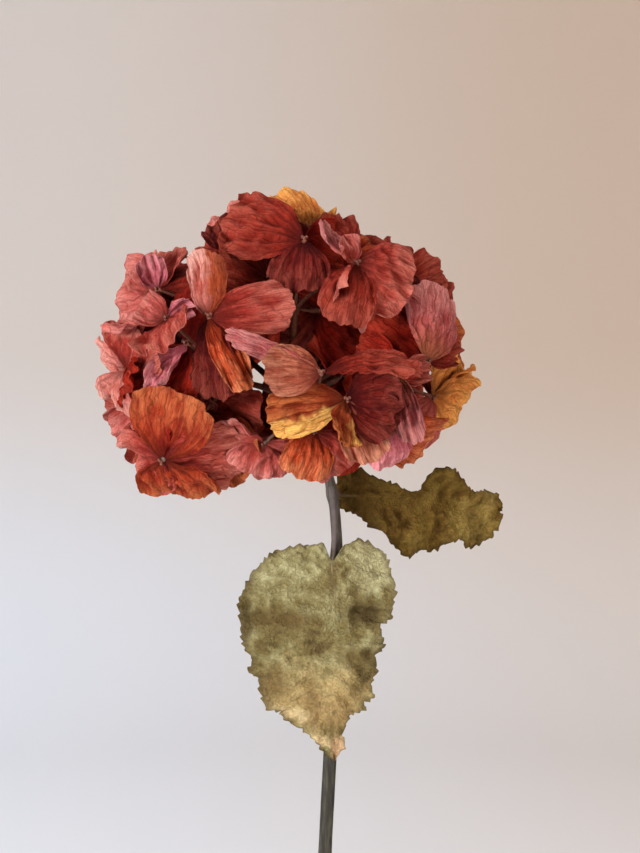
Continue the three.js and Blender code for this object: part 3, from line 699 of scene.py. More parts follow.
def lay_petal(petal, u, v, edge=0.0, relief=0.0):
    """Points of the blade at u from -1 to 1 across and v from 0 to 1 along, and its flat plan."""
    length, along, face, across = petal["axes"]
    rim = 1 - 0.07 * u**2 - 0.13 * u**8 + edge
    forward = v * length * rim * np.cos(u * fan_angle)
    swell = 1 - (1 - v) ** 2.8
    aside = petal["width"] / 0.99 * swell * rim * np.sin(u * fan_angle)
    half = petal["width"] / 2
    roll = math.radians(petal["roll"]) or 1e-3
    share = forward / length
    rise = (
        petal["bow"] * length * 4 * share * (1 - share)
        + half / roll * (1 - np.cos(roll * aside / half))
        + petal["ruffle"] * v * v * np.sin(petal["waves"] * math.pi * u + petal["phase"])
        + relief
    )
    spread = half / roll * np.sin(roll * aside / half)
    points = petal["base"] + forward[..., None] * along + spread[..., None] * across
    return points + rise[..., None] * face, aside, forward


# Ways to bend a petal clear of its neighbours, the longest and least bent first: share of its
# length, and degrees that it is swung and lifted
bends = []
for share in (1.18, 1.08, 1, 0.85, 0.7):
    for swing in (0, 10, -10, 20, -20):
        for lift in (0, 8, -8, 16, -16, 26, -26, 38, -38):
            bends.append((abs(lift) + abs(swing) - 100 * share, share, swing, lift))
bends.sort(key=lambda b: b[0])


def bent(petal, share, swing, lift):
    """The petal with its size changed by a share, swung and lifted."""
    length, along, face, across = petal_axes(petal["base"], petal["tip"], petal["front"], petal["turn"])
    a, b = math.radians(lift), math.radians(swing)
    raised = along * math.cos(a) + face * math.sin(a)
    swung = raised * math.cos(b) + across * math.sin(b)
    tip = petal["base"] + swung * length * share
    axes = petal_axes(petal["base"], tip, petal["front"], petal["turn"])
    return {**petal, "width": petal["width"] * share, "axes": axes}


def as_solid(petal, corners):
    """The petal bent as its solid is: its edge then runs midway between the solid's corners."""
    for _, share, swing, lift in bends:
        tried = bent(petal, share, swing, lift)
        for count in (5, 4):
            u = np.linspace(-1, 1, count)
            edge = lay_petal(tried, u, np.ones(count))[0]
            gaps = np.linalg.norm(edge[:, None] - corners[None], axis=2).min(1)
            if (abs(gaps - solid_thickness / 2) < 0.01).sum() >= 3:
                return tried
    return None


front_grid = (44, 34)  # points across and along a petal
rear_grid = (26, 20)
scallop_depth = 0.045  # as a share of the petal's length
small_scallop_depth = 0.016


def petal_mesh(petal, seed, grid, growth):
    """Points, faces and four lots of map coordinates of one petal: two skins and a rim."""
    wide, long = grid
    draw = seeded_draw(seed)
    u, v = np.meshgrid(np.linspace(-1, 1, wide), np.linspace(0.03, 1, long))
    length = petal["axes"][0]
    phase = [draw(0, 6.28) for _ in range(8)]
    # Round scallops parted by notches along the edge, as shares of the length
    lobes = draw(4.5, 7)
    uneven = u + 0.07 * np.sin(5 * u + phase[0])
    edge = scallop_depth * np.abs(np.sin(lobes * uneven + phase[1])) ** 0.6
    edge = edge + small_scallop_depth * np.abs(np.sin(2.7 * lobes * uneven + phase[3])) - 0.02
    edge = edge - draw(0, 0.06) * np.exp(-(((u - draw(-0.8, 0.8)) / 0.1) ** 2))
    edge = edge * v**4 + growth
    # Pleats that part from the claw, closer ones that ruffle the edge, and curls of edge and sides
    wander = u + 0.09 * np.sin(3 * u + phase[2]) + 0.05 * np.sin(6 * v + phase[3])
    fold = np.abs((wander * draw(2, 3.2) + phase[4]) % 1 - 0.5) * 2
    close = draw(1.1, 2.5) * (fold - 0.5) * v * (1.5 - 0.8 * v)
    outer = np.clip((v - 0.5) / 0.5, 0, 1)
    close = close + draw(0.5, 1.1) * outer**1.5 * np.sin(2 * lobes * uneven + 2 * phase[1])
    side = np.clip((np.abs(u) - 0.5) / 0.5, 0, 1)
    curl = draw(-4.2, 4.2) * outer**2.2 * (0.65 + 0.6 * np.sin(2.6 * u + phase[6]))
    curl = curl + (draw(-2.6, 2.6) + draw(-1.2, 1.2) * np.sign(u)) * side**2 * v
    _, aside, forward = lay_petal(petal, u, v)
    wrinkles = np.zeros_like(u)
    for row in range(long):
        for column in range(wide):
            x, y = aside[row, column], forward[row, column]
            arc = u[row, column] * length * 0.6
            broad = abs(noise.noise(Vector((x / 5, y / 8, seed * 7.3))))
            pleat = abs(noise.noise(Vector((arc / 2.4, y / 9, seed * 5.7))))
            small = abs(noise.noise(Vector((x / 2.1, y / 3.2, seed * 3.1))))
            shown = min(v[row, column] * 3, 1)
            close[row, column] += 3.4 * (0.22 - broad) * shown
            wrinkles[row, column] = (1.2 * (0.22 - pleat) + 1.0 * (0.22 - small)) * shown
    relief = close + wrinkles + curl
    # ridge: how high the pleats and wrinkles stand, carried by the folds map to paint a highlight on the
    # ridges and shade in the hollows
    ridge = np.clip(0.5 + (close + wrinkles * 0.5) / 4, 0, 1)
    middle, aside, forward = lay_petal(petal, u, v, edge, relief)
    normal = np.cross(np.gradient(middle, axis=1), np.gradient(middle, axis=0))
    normal = normal / np.maximum(np.linalg.norm(normal, axis=2, keepdims=True), 1e-9)
    skins = [middle + normal * petal_thickness / 2, middle - normal * petal_thickness / 2]
    points = np.concatenate([skin.reshape(-1, 3) for skin in skins])
    half = wide * long
    faces = []
    for row in range(long - 1):
        for column in range(wide - 1):
            a = row * wide + column
            faces.append((a, a + 1, a + wide + 1, a + wide))
            faces.append((a + half, a + wide + half, a + wide + 1 + half, a + 1 + half))
    border = [column for column in range(wide)]
    border += [row * wide + wide - 1 for row in range(1, long)]
    border += [(long - 1) * wide + column for column in range(wide - 2, -1, -1)]
    border += [row * wide for row in range(long - 2, 0, -1)]
    for i, a in enumerate(border):
        b = border[(i + 1) % len(border)]
        faces.append((a, a + half, b + half, b))
    fan = np.stack([u.ravel(), v.ravel()], axis=1)
    blade = np.stack([aside.ravel() * 0.001, forward.ravel() * 0.001], axis=1)
    own = np.tile([length * 0.001, (seed * 0.618034) % 1], (half, 1))
    folds = np.stack([ridge.ravel(), 1 - ridge.ravel()], axis=1)
    maps = [np.concatenate([m, m]) for m in (fan, blade, own)]
    return points, faces, maps + [np.concatenate([folds, folds[:, ::-1]])]


# Petal paper: matte, thin enough to glow a little, darker along its veins. Each tone has a colour,
# a second one it is flushed with, its edge, and its veins, as the dried heads turn.
# The second colour also serves as painted shade in the hollows, the edge colour as a painted highlight on
# the ridges, and the vein colour as painted shade at the claw where no claw colour is given.
petal_tones = {
    "rust": ("#992D1E", "#6E1A10", "#B25644", "#370A0B"),
    "brick": ("#B14134", "#8C281E", "#C97765", "#4A1310"),
    "ember": ("#A93C20", "#7F1D12", "#BF6C40", "#3F0E09"),
    "salmon": ("#C76055", "#A64034", "#D58B7D", "#601A12"),
    "blush": ("#DC8676", "#BC5848", "#E6AE9C", "#7A2C20"),
    "cream": ("#D07869", "#B14D3E", "#E6B4A2", "#6C2418"),
    "rose": ("#E0787E", "#BC585E", "#E8A4A2", "#7C2C32"),
    "mauve": ("#BC5452", "#923634", "#DA948A", "#4C161C"),
    "plum": ("#741E16", "#521212", "#904234", "#240606"),
    "maroon": ("#A72415", "#78150B", "#B2412C", "#390704"),
    "amber": ("#A84A26", "#842812", "#C87440", "#481008"),
    "ochre": ("#DC8A44", "#B8602C", "#EEB05C", "#6A3214"),
    "peach": ("#AE5C42", "#8C3A28", "#CC8A6A", "#541814"),
    "umber": ("#8C1A0C", "#620E08", "#962C1C", "#2C0404"),
    "flame": ("#BE4420", "#922E16", "#DC8A5C", "#4A100A"),
}
# Tones that turn another colour along one side of the petal: the side, and the colour. This is partly
# the petal's own colour and partly painted light: a highlight on amber's side, shade on cream's.
side_tones_and_light = {"amber": (-1, "#FFC468"), "cream": (1, "#A4441E")}
# Mauve has a claw colour of its own; the other tones get painted shade at the claw, in their vein colour
claws = {"mauve": "#B87444"}  # the others darken at the claw
vein_net = (2.3, 10.0)  # size of a mesh of the net, across and along the petal in mm
main_veins = 3.2  # on each side of the middle one
main_vein_width = 0.00045


def petal_paper(tone):
    """The paper of the petals of one tone."""
    colour, flush_and_shade_colour, rim, vein = petal_tones[tone]
    paper = new_material("dry petal, " + tone)
    fan = add_node(paper, "UVMap", {"uv_map": "fan"})
    fan_axes = add_node(paper, "SeparateXYZ", {}, {"Vector": (fan, "UV")})
    blade = add_node(paper, "UVMap", {"uv_map": "blade"})
    own = add_node(paper, "UVMap", {"uv_map": "own"})
    own_axes = add_node(paper, "SeparateXYZ", {}, {"Vector": (own, "UV")})
    folds = add_node(paper, "UVMap", {"uv_map": "folds"})
    fold_axes = add_node(paper, "SeparateXYZ", {}, {"Vector": (folds, "UV")})
    shift = add_node(paper, "CombineXYZ", {}, {"Z": (own_axes, "Y")})
    place = add_node(paper, "VectorMath", {"operation": "ADD"}, {0: (blade, "UV"), 1: (shift, 0)})
    waver = add_node(paper, "TexNoise", {}, {"Vector": (place, 0), "Scale": 150.0, "Detail": 2.0})
    # Fine streaks that fan out from the claw, about 0.8 mm apart at the edge
    fanned = add_node(
        paper, "VectorMath", {"operation": "MULTIPLY_ADD"},
        {0: (fan, "UV"), 1: (0.085, 0.011, 0), 2: (shift, 0)},
    )
    streaks = add_node(
        paper, "TexNoise", {},
        {"Vector": (fanned, 0), "Scale": 200.0, "Detail": 4.0, "Roughness": 0.7, "Distortion": 0.35},
    )
    # Main veins, and a net between them that comes and goes
    across = add_node(
        paper, "Math", {"operation": "MULTIPLY_ADD"}, {0: (waver, "Fac"), 1: 0.3, 2: (fan_axes, "X")}
    )
    turns = add_node(paper, "Math", {"operation": "MULTIPLY"}, {0: (across, 0), 1: main_veins})
    beside = add_node(paper, "Math", {"operation": "PINGPONG"}, {0: (turns, 0), 1: 0.5})
    arc = add_node(paper, "Math", {"operation": "MULTIPLY"}, {0: (own_axes, "X"), 1: (fan_axes, "Y")})
    far = add_node(paper, "Math", {"operation": "MULTIPLY"}, {0: (beside, 0), 1: (arc, 0)})
    main_vein = add_node(
        paper, "MapRange", {"interpolation_type": "SMOOTHSTEP"},
        {
            "Value": (far, 0), "From Max": main_vein_width * main_veins / fan_angle,
            "To Min": 0.9, "To Max": 0.0,
        },
    )
    astray = add_node(
        paper, "VectorMath", {"operation": "MULTIPLY_ADD"},
        {0: (waver, "Color"), 1: (0.005, 0.005, 0), 2: (place, 0)},
    )
    scaled = add_node(
        paper, "VectorMath", {"operation": "MULTIPLY"},
        {0: (astray, 0), 1: (1000 / vein_net[0], 1000 / vein_net[1], 300)},
    )
    net = add_node(
        paper, "TexVoronoi", {"feature": "DISTANCE_TO_EDGE"}, {"Vector": (scaled, 0), "Scale": 1.0}
    )
    net_line = add_node(
        paper, "MapRange", {"interpolation_type": "SMOOTHSTEP"},
        {"Value": (net, "Distance"), "From Max": 0.07, "To Min": 0.8, "To Max": 0.0},
    )
    both = add_node(paper, "Math", {"operation": "MAXIMUM"}, {0: (main_vein, 0), 1: (net_line, 0)})
    patch = add_node(
        paper, "TexNoise", {}, {"Vector": (place, 0), "Scale": 95.0, "Detail": 5.0, "Roughness": 0.62}
    )
    comes = add_node(
        paper, "MapRange", {}, {"Value": (patch, "Fac"), "From Min": 0.66, "From Max": 0.38, "To Min": 0.25}
    )
    veins = add_node(paper, "Math", {"operation": "MULTIPLY"}, {0: (both, 0), 1: (comes, 0)})
    # Colour: flushed in clouds; painted shade in the hollows and a painted highlight on the ridges;
    # the edge colour at the edge; painted shade at the claw
    hollow = add_node(
        paper, "Math", {"operation": "MULTIPLY_ADD"}, {0: (fold_axes, "X"), 1: -0.2, 2: (patch, "Fac")}
    )
    hollow_share = add_node(
        paper, "MapRange", {"interpolation_type": "SMOOTHSTEP"},
        {"Value": (hollow, 0), "From Min": 0.25, "From Max": 0.6},
    )
    flushed_and_shaded = add_node(
        paper, "Mix", {"data_type": "RGBA"}, {0: (hollow_share, 0), 6: linear(colour), 7: linear(flush_and_shade_colour)}
    )
    ridge_highlight = add_node(
        paper, "Math", {"operation": "MULTIPLY_ADD"}, {0: (fold_axes, "X"), 1: 0.6, 2: (streaks, "Fac")}
    )
    rim_noise = add_node(
        paper, "Math", {"operation": "MULTIPLY_ADD"}, {0: (fan_axes, "Y"), 1: 0.7, 2: (ridge_highlight, 0)}
    )
    rim_and_highlight_share = add_node(
        paper, "MapRange", {"interpolation_type": "SMOOTHSTEP"},
        {"Value": (rim_noise, 0), "From Min": 1.0, "From Max": 1.85, "To Max": 0.85},
    )
    rimmed = add_node(
        paper, "Mix", {"data_type": "RGBA"}, {0: (rim_and_highlight_share, 0), 6: (flushed_and_shaded, 2), 7: linear(rim)}
    )
    # One side another colour: partly the petal's own, partly a painted highlight on amber and painted shade
    # on cream
    if tone in side_tones_and_light:
        side, other = side_tones_and_light[tone]
        sideways = add_node(
            paper, "Math", {"operation": "MULTIPLY_ADD"},
            {0: (fan_axes, "X"), 1: side * 1.2, 2: (waver, "Fac")},
        )
        side_share = add_node(
            paper, "MapRange", {"interpolation_type": "SMOOTHSTEP"},
            {"Value": (sideways, 0), "From Min": 0.62, "From Max": 0.95, "To Max": 0.9},
        )
        rimmed = add_node(
            paper, "Mix", {"data_type": "RGBA"}, {0: (side_share, 0), 6: (rimmed, 2), 7: linear(other)}
        )
    # Painted shade at the claw, in the vein colour, for the tones without a claw colour of their own
    claw_colour_and_shade = linear(claws.get(tone, vein))
    claw_reach = 0.6 if tone in claws else 0.4
    claw_share = add_node(
        paper, "MapRange", {"interpolation_type": "SMOOTHSTEP"},
        {"Value": (fan_axes, "Y"), "From Max": claw_reach, "To Min": 0.55, "To Max": 0.0},
    )
    clawed = add_node(
        paper, "Mix", {"data_type": "RGBA"}, {0: (claw_share, 0), 6: (rimmed, 2), 7: claw_colour_and_shade}
    )
    vein_share = add_node(paper, "Math", {"operation": "MULTIPLY"}, {0: (veins, 0), 1: 0.68})
    veined = add_node(
        paper, "Mix", {"data_type": "RGBA"}, {0: (vein_share, 0), 6: (clawed, 2), 7: linear(vein)}
    )
    fine = add_node(
        paper, "TexNoise", {}, {"Vector": (place, 0), "Scale": 800.0, "Detail": 3.0, "Roughness": 0.6}
    )
    grained = add_node(
        paper, "MapRange", {},
        {"Value": (fine, "Fac"), "From Min": 0.3, "From Max": 0.7, "To Min": 0.85, "To Max": 1.15},
    )
    streaked = add_node(
        paper, "MapRange", {},
        {"Value": (streaks, "Fac"), "From Min": 0.3, "From Max": 0.7, "To Min": 0.85, "To Max": 1.15},
    )
    light = add_node(paper, "Math", {"operation": "MULTIPLY"}, {0: (grained, 0), 1: (streaked, 0)})
    shade = add_node(paper, "HueSaturation", {}, {"Color": (veined, 2), "Value": (light, 0)})
    swollen = add_node(paper, "Math", {"operation": "MINIMUM"}, {0: (net, "Distance"), 1: 0.3})
    pucker = add_node(
        paper, "Math", {"operation": "MULTIPLY_ADD"}, {0: (swollen, 0), 1: 0.8, 2: (streaks, "Fac")}
    )
    height = add_node(
        paper, "Math", {"operation": "MULTIPLY_ADD"}, {0: (fine, "Fac"), 1: 0.35, 2: (pucker, 0)}
    )
    relief = add_node(paper, "Bump", {}, {"Height": (height, 0), "Strength": 0.9, "Distance": 0.001})
    surface = add_node(
        paper, "BsdfPrincipled", {},
        {
            "Base Color": (shade, 0), "Roughness": 0.85, "IOR": 1.33,
            "Specular IOR Level": 0.15, "Normal": (relief, 0),
        },
    )
    glow = add_node(paper, "BsdfTranslucent", {}, {"Color": (shade, 0), "Normal": (relief, 0)})
    mixed = add_node(paper, "MixShader", {}, {0: 0.32, 1: (surface, 0), 2: (glow, 0)})
    add_node(paper, "OutputMaterial", {}, {"Surface": (mixed, 0)})
    return paper


petal_papers = {tone: petal_paper(tone) for tone in petal_tones}

# Dry flower bud: brown and dull, with a grain of about 1 mm
dry_bud = new_material("dry flower bud")
bud_place = add_node(dry_bud, "TexCoord")
bud_grain = add_node(
    dry_bud, "TexNoise", {}, {"Vector": (bud_place, "Object"), "Scale": 900.0, "Detail": 2.0}
)
bud_tone = add_node(dry_bud, "ValToRGB", {}, {"Fac": (bud_grain, "Fac")})
set_stops(bud_tone, [(0.3, "#3A140C"), (0.7, "#8A4A34")])
bud_shader = add_node(
    dry_bud, "BsdfPrincipled", {}, {"Base Color": (bud_tone, "Color"), "Roughness": 0.8}
)
add_node(dry_bud, "OutputMaterial", {}, {"Surface": (bud_shader, 0)})


def lay_maps(made, maps):
    """Lays named lots of map coordinates, one pair for each point, over the corners of a mesh."""
    corner_of = np.empty(len(made.data.loops), int)
    made.data.loops.foreach_get("vertex_index", corner_of)
    for title, lot in maps.items():
        layer = made.data.uv_layers.new(name=title)
        layer.data.foreach_set("uv", np.array(lot)[corner_of].ravel())


blooms = [front_bloom(entry, i) for i, entry in enumerate(front_blooms)]
blooms += [rear_bloom(entry, i) for i, entry in enumerate(rear_blooms)]
stalk_sides = 8
bud_radius = 0.7
bud_places = (np.zeros(3), (0.9, 0, 0.5), (-0.8, 0.2, 0.6), (0.1, 0.3, -0.9), (0, -0.9, 0.1))
# Petals reach past their solids by a share of their length, but not round the gap in the head that
# one sees through
front_growth = 0.055
rear_growth = 0.09
round_the_gap = (1, 3, 10, 41, 42)
for number, (eye, petals) in enumerate(blooms, 1):
    in_front = number <= len(front_blooms)
    name = f"bloom_{number:02d}"
    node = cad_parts[name]
    corners = np.empty(len(node.data.vertices) * 3)
    node.data.vertices.foreach_get("co", corners)
    corners = np.unique((corners.reshape(-1, 3) * 1000).round(3), axis=0)

    near = branch_ends[np.linalg.norm(branch_ends - eye, axis=1).argmin()]
    back = unit(near - eye)
    end = eye + back * (eye_radius + clearance)
    gap = np.linalg.norm(end - near)
    leave = near + unit(unit(near - hub) + 1.5 * unit(end - near)) * gap * 0.3
    stalk = bend(near, leave, end + back * gap * 0.3, end, 10) + [eye]
    stalk_radii = np.interp(range(12), [0, 3, 9, 11], [1.1, 0.7, 0.7, 1.2])
    stem_parts.append(stick(stalk, stalk_radii, stalk_sides))

    shown = [solid for solid in (as_solid(petal, corners) for petal in petals) if solid]
    points, faces, maps, slots = [], [], [[], [], [], []], []
    tones = sorted({petal["tone"] for petal in shown})
    growth = front_growth if in_front else rear_growth
    if number in round_the_gap:
        growth = 0
    for k, petal in enumerate(shown):
        made = petal_mesh(petal, number * 10 + k, front_grid if in_front else rear_grid, growth)
        start = len(points)
        points.extend(made[0])
        faces.extend(tuple(start + i for i in face) for face in made[1])
        slots += [tones.index(petal["tone"])] * len(made[1])
        for lot, own_map in zip(maps, made[2]):
            lot.extend(own_map)
    bud_points, bud_faces = gather([ball(eye - back * 0.9 + shift, bud_radius) for shift in bud_places])
    start = len(points)
    points.extend(bud_points)
    faces.extend(tuple(start + i for i in face) for face in bud_faces)
    slots += [len(tones)] * len(bud_faces)
    for lot in maps:
        lot.extend([(0.0, 0.0)] * len(bud_points))
    bloom = object_of(name + "_petals", points, faces)
    lay_maps(bloom, dict(zip(("fan", "blade", "own", "folds"), maps)))
    for tone in tones:
        bloom.data.materials.append(petal_papers[tone])
    bloom.data.materials.append(dry_bud)
    bloom.data.polygons.foreach_set("material_index", slots)
    bloom.data.set_sharp_from_angle(angle=math.radians(60))
    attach(bloom, "root")
    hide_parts(name)

stem = object_of("stem_and_branches", *gather(stem_parts))
# Dry bark: dull, with streaks of about 1 mm that run up the stem
dry_bark = new_material("dry woody bark")
bark_place = add_node(dry_bark, "TexCoord")
bark_stretch = add_node(
    dry_bark, "VectorMath", {"operation": "MULTIPLY"}, {0: (bark_place, "Object"), 1: (1, 1, 0.12)}
)
bark_streaks = add_node(
    dry_bark, "TexNoise", {}, {"Vector": (bark_stretch, 0), "Scale": 900.0, "Detail": 4.0}
)
bark_cloud = add_node(
    dry_bark, "TexNoise", {}, {"Vector": (bark_place, "Object"), "Scale": 40.0, "Detail": 3.0}
)
bark_mix = add_node(
    dry_bark, "Math", {"operation": "MULTIPLY_ADD"},
    {0: (bark_cloud, "Fac"), 1: 0.5, 2: (bark_streaks, "Fac")},
)
bark_tone = add_node(dry_bark, "ValToRGB", {}, {"Fac": (bark_mix, 0)})
set_stops(bark_tone, [(0.45, "#26221E"), (0.75, "#48423A"), (1, "#746E5E")])
bark_axes = add_node(dry_bark, "SeparateXYZ", {}, {"Vector": (bark_place, "Object")})
bark_height = add_node(
    dry_bark, "MapRange", {}, {"Value": (bark_axes, "Z"), "From Min": 0.3, "From Max": 0.42}
)
# Grey wood below, purple grey by the leaves, and red brown inside the head, where the red brown is
# painted shade: the dark red of the head's shaded inside
bark_height_tint = add_node(dry_bark, "ValToRGB", {}, {"Fac": (bark_height, 0)})
set_stops(bark_height_tint, [(0.1, "#A2A298"), (0.5, "#FFF4F2"), (0.7, "#FFF0F0")])
bark_below = add_node(
    dry_bark, "Mix", {"data_type": "RGBA", "blend_type": "MULTIPLY"},
    {0: 1.0, 6: (bark_tone, "Color"), 7: (bark_height_tint, "Color")},
)
# Painted shade: inside the head the branches take the dark red of the head's shaded inside
bark_head_shade = add_node(dry_bark, "ValToRGB", {}, {"Fac": (bark_mix, 0)})
set_stops(bark_head_shade, [(0.45, "#3E140C"), (1, "#6E3A22")])
bark_head_shade_share = add_node(
    dry_bark, "MapRange", {"interpolation_type": "SMOOTHSTEP"},
    {"Value": (bark_height, 0), "From Min": 0.66, "From Max": 0.9},
)
bark_colour = add_node(
    dry_bark, "Mix", {"data_type": "RGBA"},
    {0: (bark_head_shade_share, 0), 6: (bark_below, 2), 7: (bark_head_shade, "Color")},
)
bark_relief = add_node(
    dry_bark, "Bump", {}, {"Height": (bark_streaks, "Fac"), "Strength": 0.6, "Distance": 0.0004}
)
bark_shader = add_node(
    dry_bark, "BsdfPrincipled", {},
    {
        "Base Color": (bark_colour, 2), "Roughness": 0.75, "Specular IOR Level": 0.3,
        "Normal": (bark_relief, 0),
    },
)
add_node(dry_bark, "OutputMaterial", {}, {"Surface": (bark_shader, 0)})
stem.data.materials.append(dry_bark)
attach(stem, "root")
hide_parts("stem")


# Leaves: two dry, toothed leaves on short stalks. The front one hangs down with its face forward,
# and the one behind stands out to the right. They are crumpled between their side veins.
front_leaf = {
    "joint": (9.7, -13, 342.5),
    "along": (0, 0, -1),
    "across": (1, 0, 0),
    "left": [
        (-1.5, -3), (-4.3, -8.2), (-14, -7), (-24.6, -4.7), (-34, 4.3), (-40.6, 16.4), (-39.3, 30.2),
        (-37.5, 38.8), (-34, 42.3), (-35.8, 47.5), (-32, 50), (-28.5, 63.8), (-22.4, 64.3),
        (-20.7, 69), (-11.6, 72.5), (-5.2, 78.5), (0.9, 86),
    ],
    "right": [
        (3, -3), (5.6, -7.3), (11.2, -9.9), (22.4, -4.3), (27.2, 9.5), (25.5, 23.7), (20.5, 25.5),
        (22.4, 37.1), (18.6, 40.1), (19.4, 45.3), (16.8, 52.2), (18, 57.8), (13.4, 59.5), (15, 63.8),
        (8.2, 65), (4, 76), (5.6, 79), (0.9, 86),
    ],
    "height": lambda x, t: 5 * np.sin(math.pi * t / 90) - 0.004 * x * x + 1.3 * np.sin(0.24 * x + 0.13 * t),
    # Ledges where the blade folds over itself: place, run-up across, and depth
    "folds": [((4, 20), 8, 4.2), ((-16, 40), 10, 2.0), ((4, 58), 6, 2.0)],
}
rear_leaf = {
    "joint": (12.6, 7, 370.7),
    "along": (0.91, 0.39, -0.12),
    "across": (0.1, 0.05, 1),
    "left": [
        (-2, -3), (-6, 1.5), (-7, 7), (-10, 14.4), (-17.5, 26.7), (-24, 34), (-25, 38.5), (-21, 45.5),
        (-21.5, 50), (-15.5, 61.5), (-13.3, 64.5), (-18.7, 72), (-16, 78), (-12, 83), (0, 86.5),
    ],
    "right": [
        (2, -3), (8, -2), (12.9, 7.7), (10, 16), (6.8, 24), (3.6, 38), (11.6, 44.5), (17, 48),
        (18, 52), (12.6, 62.4), (7.6, 66), (9.2, 75), (8.4, 85), (0, 86.5),
    ],
    "height": lambda x, t: 4 * np.sin(math.pi * t / 60) - 0.006 * x * x + 1.2 * np.sin(0.3 * x + 0.17 * t),
    "folds": [((-4, 30), 8, 2.0), ((3, 58), 6, 1.8)],
}
leaf_thickness = 0.4
leaf_grid = (190, 37)  # points along and across a leaf
tooth_length = 4.0
tooth_depth = 1.6
side_vein_gap = 9
side_vein_slant = 0.75


def along_margin(margin, shares):
    """Points at shares of a margin's length, and the direction in which it runs there."""
    margin = np.array(margin, float)
    spans = np.linalg.norm(np.diff(margin, axis=0), axis=1)
    reached = np.concatenate([[0], np.cumsum(spans)])
    places = np.array(shares) * reached[-1]
    points = np.stack([np.interp(places, reached, margin[:, i]) for i in (0, 1)], axis=1)
    runs = np.gradient(points, axis=0)
    return points, runs / np.linalg.norm(runs, axis=1, keepdims=True), places


def leaf_mesh(leaf, stalk, seed):
    """Points, faces, plan and folds of a leaf with its rib and stalk, and its blade's face count."""
    stations, wide = leaf_grid
    shares = np.linspace(0, 1, stations + 1)[:-1]
    reach = np.array(leaf["left"][-1], float)
    middle = reach * shares[:, None] ** 1.6
    margins = []
    for side, margin in enumerate((leaf["left"], leaf["right"])):
        points, runs, places = along_margin(margin, shares)
        outward = np.stack([-runs[:, 1], runs[:, 0]], axis=1) * (1 if side == 0 else -1)
        wander = places + 1.1 * np.sin(places * 0.31 + seed + side)
        uneven = 0.75 + 0.45 * np.sin(places * 0.47 + 2 * seed + side)
        tooth = tooth_depth * uneven * (1 - (wander / tooth_length) % 1) - 0.3
        grown = np.clip(np.minimum(places / 12, (places[-1] - places) / 6), 0, 1)
        margins.append(points + outward * (tooth * grown)[:, None])
    rows = []
    for k in range(wide):
        s = 2 * k / (wide - 1) - 1
        margin = margins[0] if s < 0 else margins[1]
        rows.append(middle + (margin - middle) * abs(s))
    plan = np.stack(rows, axis=1)
    x, t = plan[..., 0], plan[..., 1]
    rise = leaf["height"](x, t)
    across = np.abs(np.linspace(-1, 1, wide))[None, :]
    slant = t - side_vein_slant * np.abs(x)
    swelling = 0.9 * np.abs(np.sin(slant * math.pi / side_vein_gap))
    rise = rise + swelling * np.clip(across * 3, 0, 1) * (1 - 0.4 * across)
    crumple = np.zeros_like(x)
    for index in np.ndindex(x.shape):
        place = Vector((x[index], t[index], seed * 11.7))
        creased = 0.22 - abs(noise.noise(place / 7))
        crumple[index] = 4 * noise.noise(place / 15) + 4.2 * creased + noise.noise(place / 2.6)
    rise = rise + crumple * np.clip(across * 4, 0.15, 1)
    # ridge: how high the crumple stands, carried by the folds map to paint shade in its hollows and light on
    # its ridges
    ridge = np.clip(0.55 + crumple / 5, 0, 1)
    rise = rise + 2.4 * across**5 * np.sin(t * 0.21 + seed)
    for (x_fold, t_fold), reach_fold, step_fold in leaf["folds"]:
        above = np.clip((t_fold - t) / 2.5 + 0.5, 0, 1)
        beyond = np.clip((np.sign(x_fold) * (x - x_fold)) / reach_fold, 0, 1)
        rise = rise + step_fold * above * np.clip((t - t_fold + 16) / 16, 0, 1) * beyond
    along = unit(np.array(leaf["along"], float))
    sideways = np.array(leaf["across"], float)
    sideways = unit(sideways - along * np.dot(sideways, along))
    face = np.cross(along, sideways)
    joint = np.array(leaf["joint"], float)
    surface = joint + t[..., None] * along + x[..., None] * sideways + rise[..., None] * face
    skins = [surface + face * leaf_thickness / 2, surface - face * leaf_thickness / 2]
    points = list(np.concatenate([skin.reshape(-1, 3) for skin in skins]))
    half = wide * stations
    faces = []
    for row in range(stations - 1):
        for column in range(wide - 1):
            a = row * wide + column
            faces.append((a, a + wide, a + wide + 1, a + 1))
            faces.append((a + half, a + 1 + half, a + wide + 1 + half, a + wide + half))
    border = [row * wide for row in range(stations)]
    border += [(stations - 1) * wide + column for column in range(1, wide)]
    border += [row * wide + wide - 1 for row in range(stations - 2, -1, -1)]
    border += [column for column in range(wide - 2, 0, -1)]
    for i, a in enumerate(border):
        b = border[(i + 1) % len(border)]
        faces.append((a, a + half, b + half, b))
    plan_all = list(np.concatenate([plan.reshape(-1, 2)] * 2) * 0.001)
    centre = [surface[row, wide // 2] - face * 0.9 for row in range(2, stations, 6)]
    line = through([np.array(p, float) for p in stalk] + centre[1:], 90)
    rib_points, rib_faces = stick(line, np.interp(range(91), [0, 12, 40, 90], [1.35, 1.2, 0.9, 0.3]), 10)
    start = len(points)
    points.extend(rib_points)
    faces.extend(tuple(start + i for i in f) for f in rib_faces)
    rib_plan = [
        (np.dot(p - joint, sideways) * 0.001, np.dot(p - joint, along) * 0.001) for p in rib_points
    ]
    outer = np.broadcast_to(across, ridge.shape).ravel()
    front, behind = (np.stack([lot, outer], axis=1) for lot in (ridge.ravel(), 1 - ridge.ravel()))
    folds_all = list(front) + list(behind) + [(0.5, 0.0)] * len(rib_points)
    return points, faces, plan_all + rib_plan, folds_all, len(faces) - len(rib_faces)


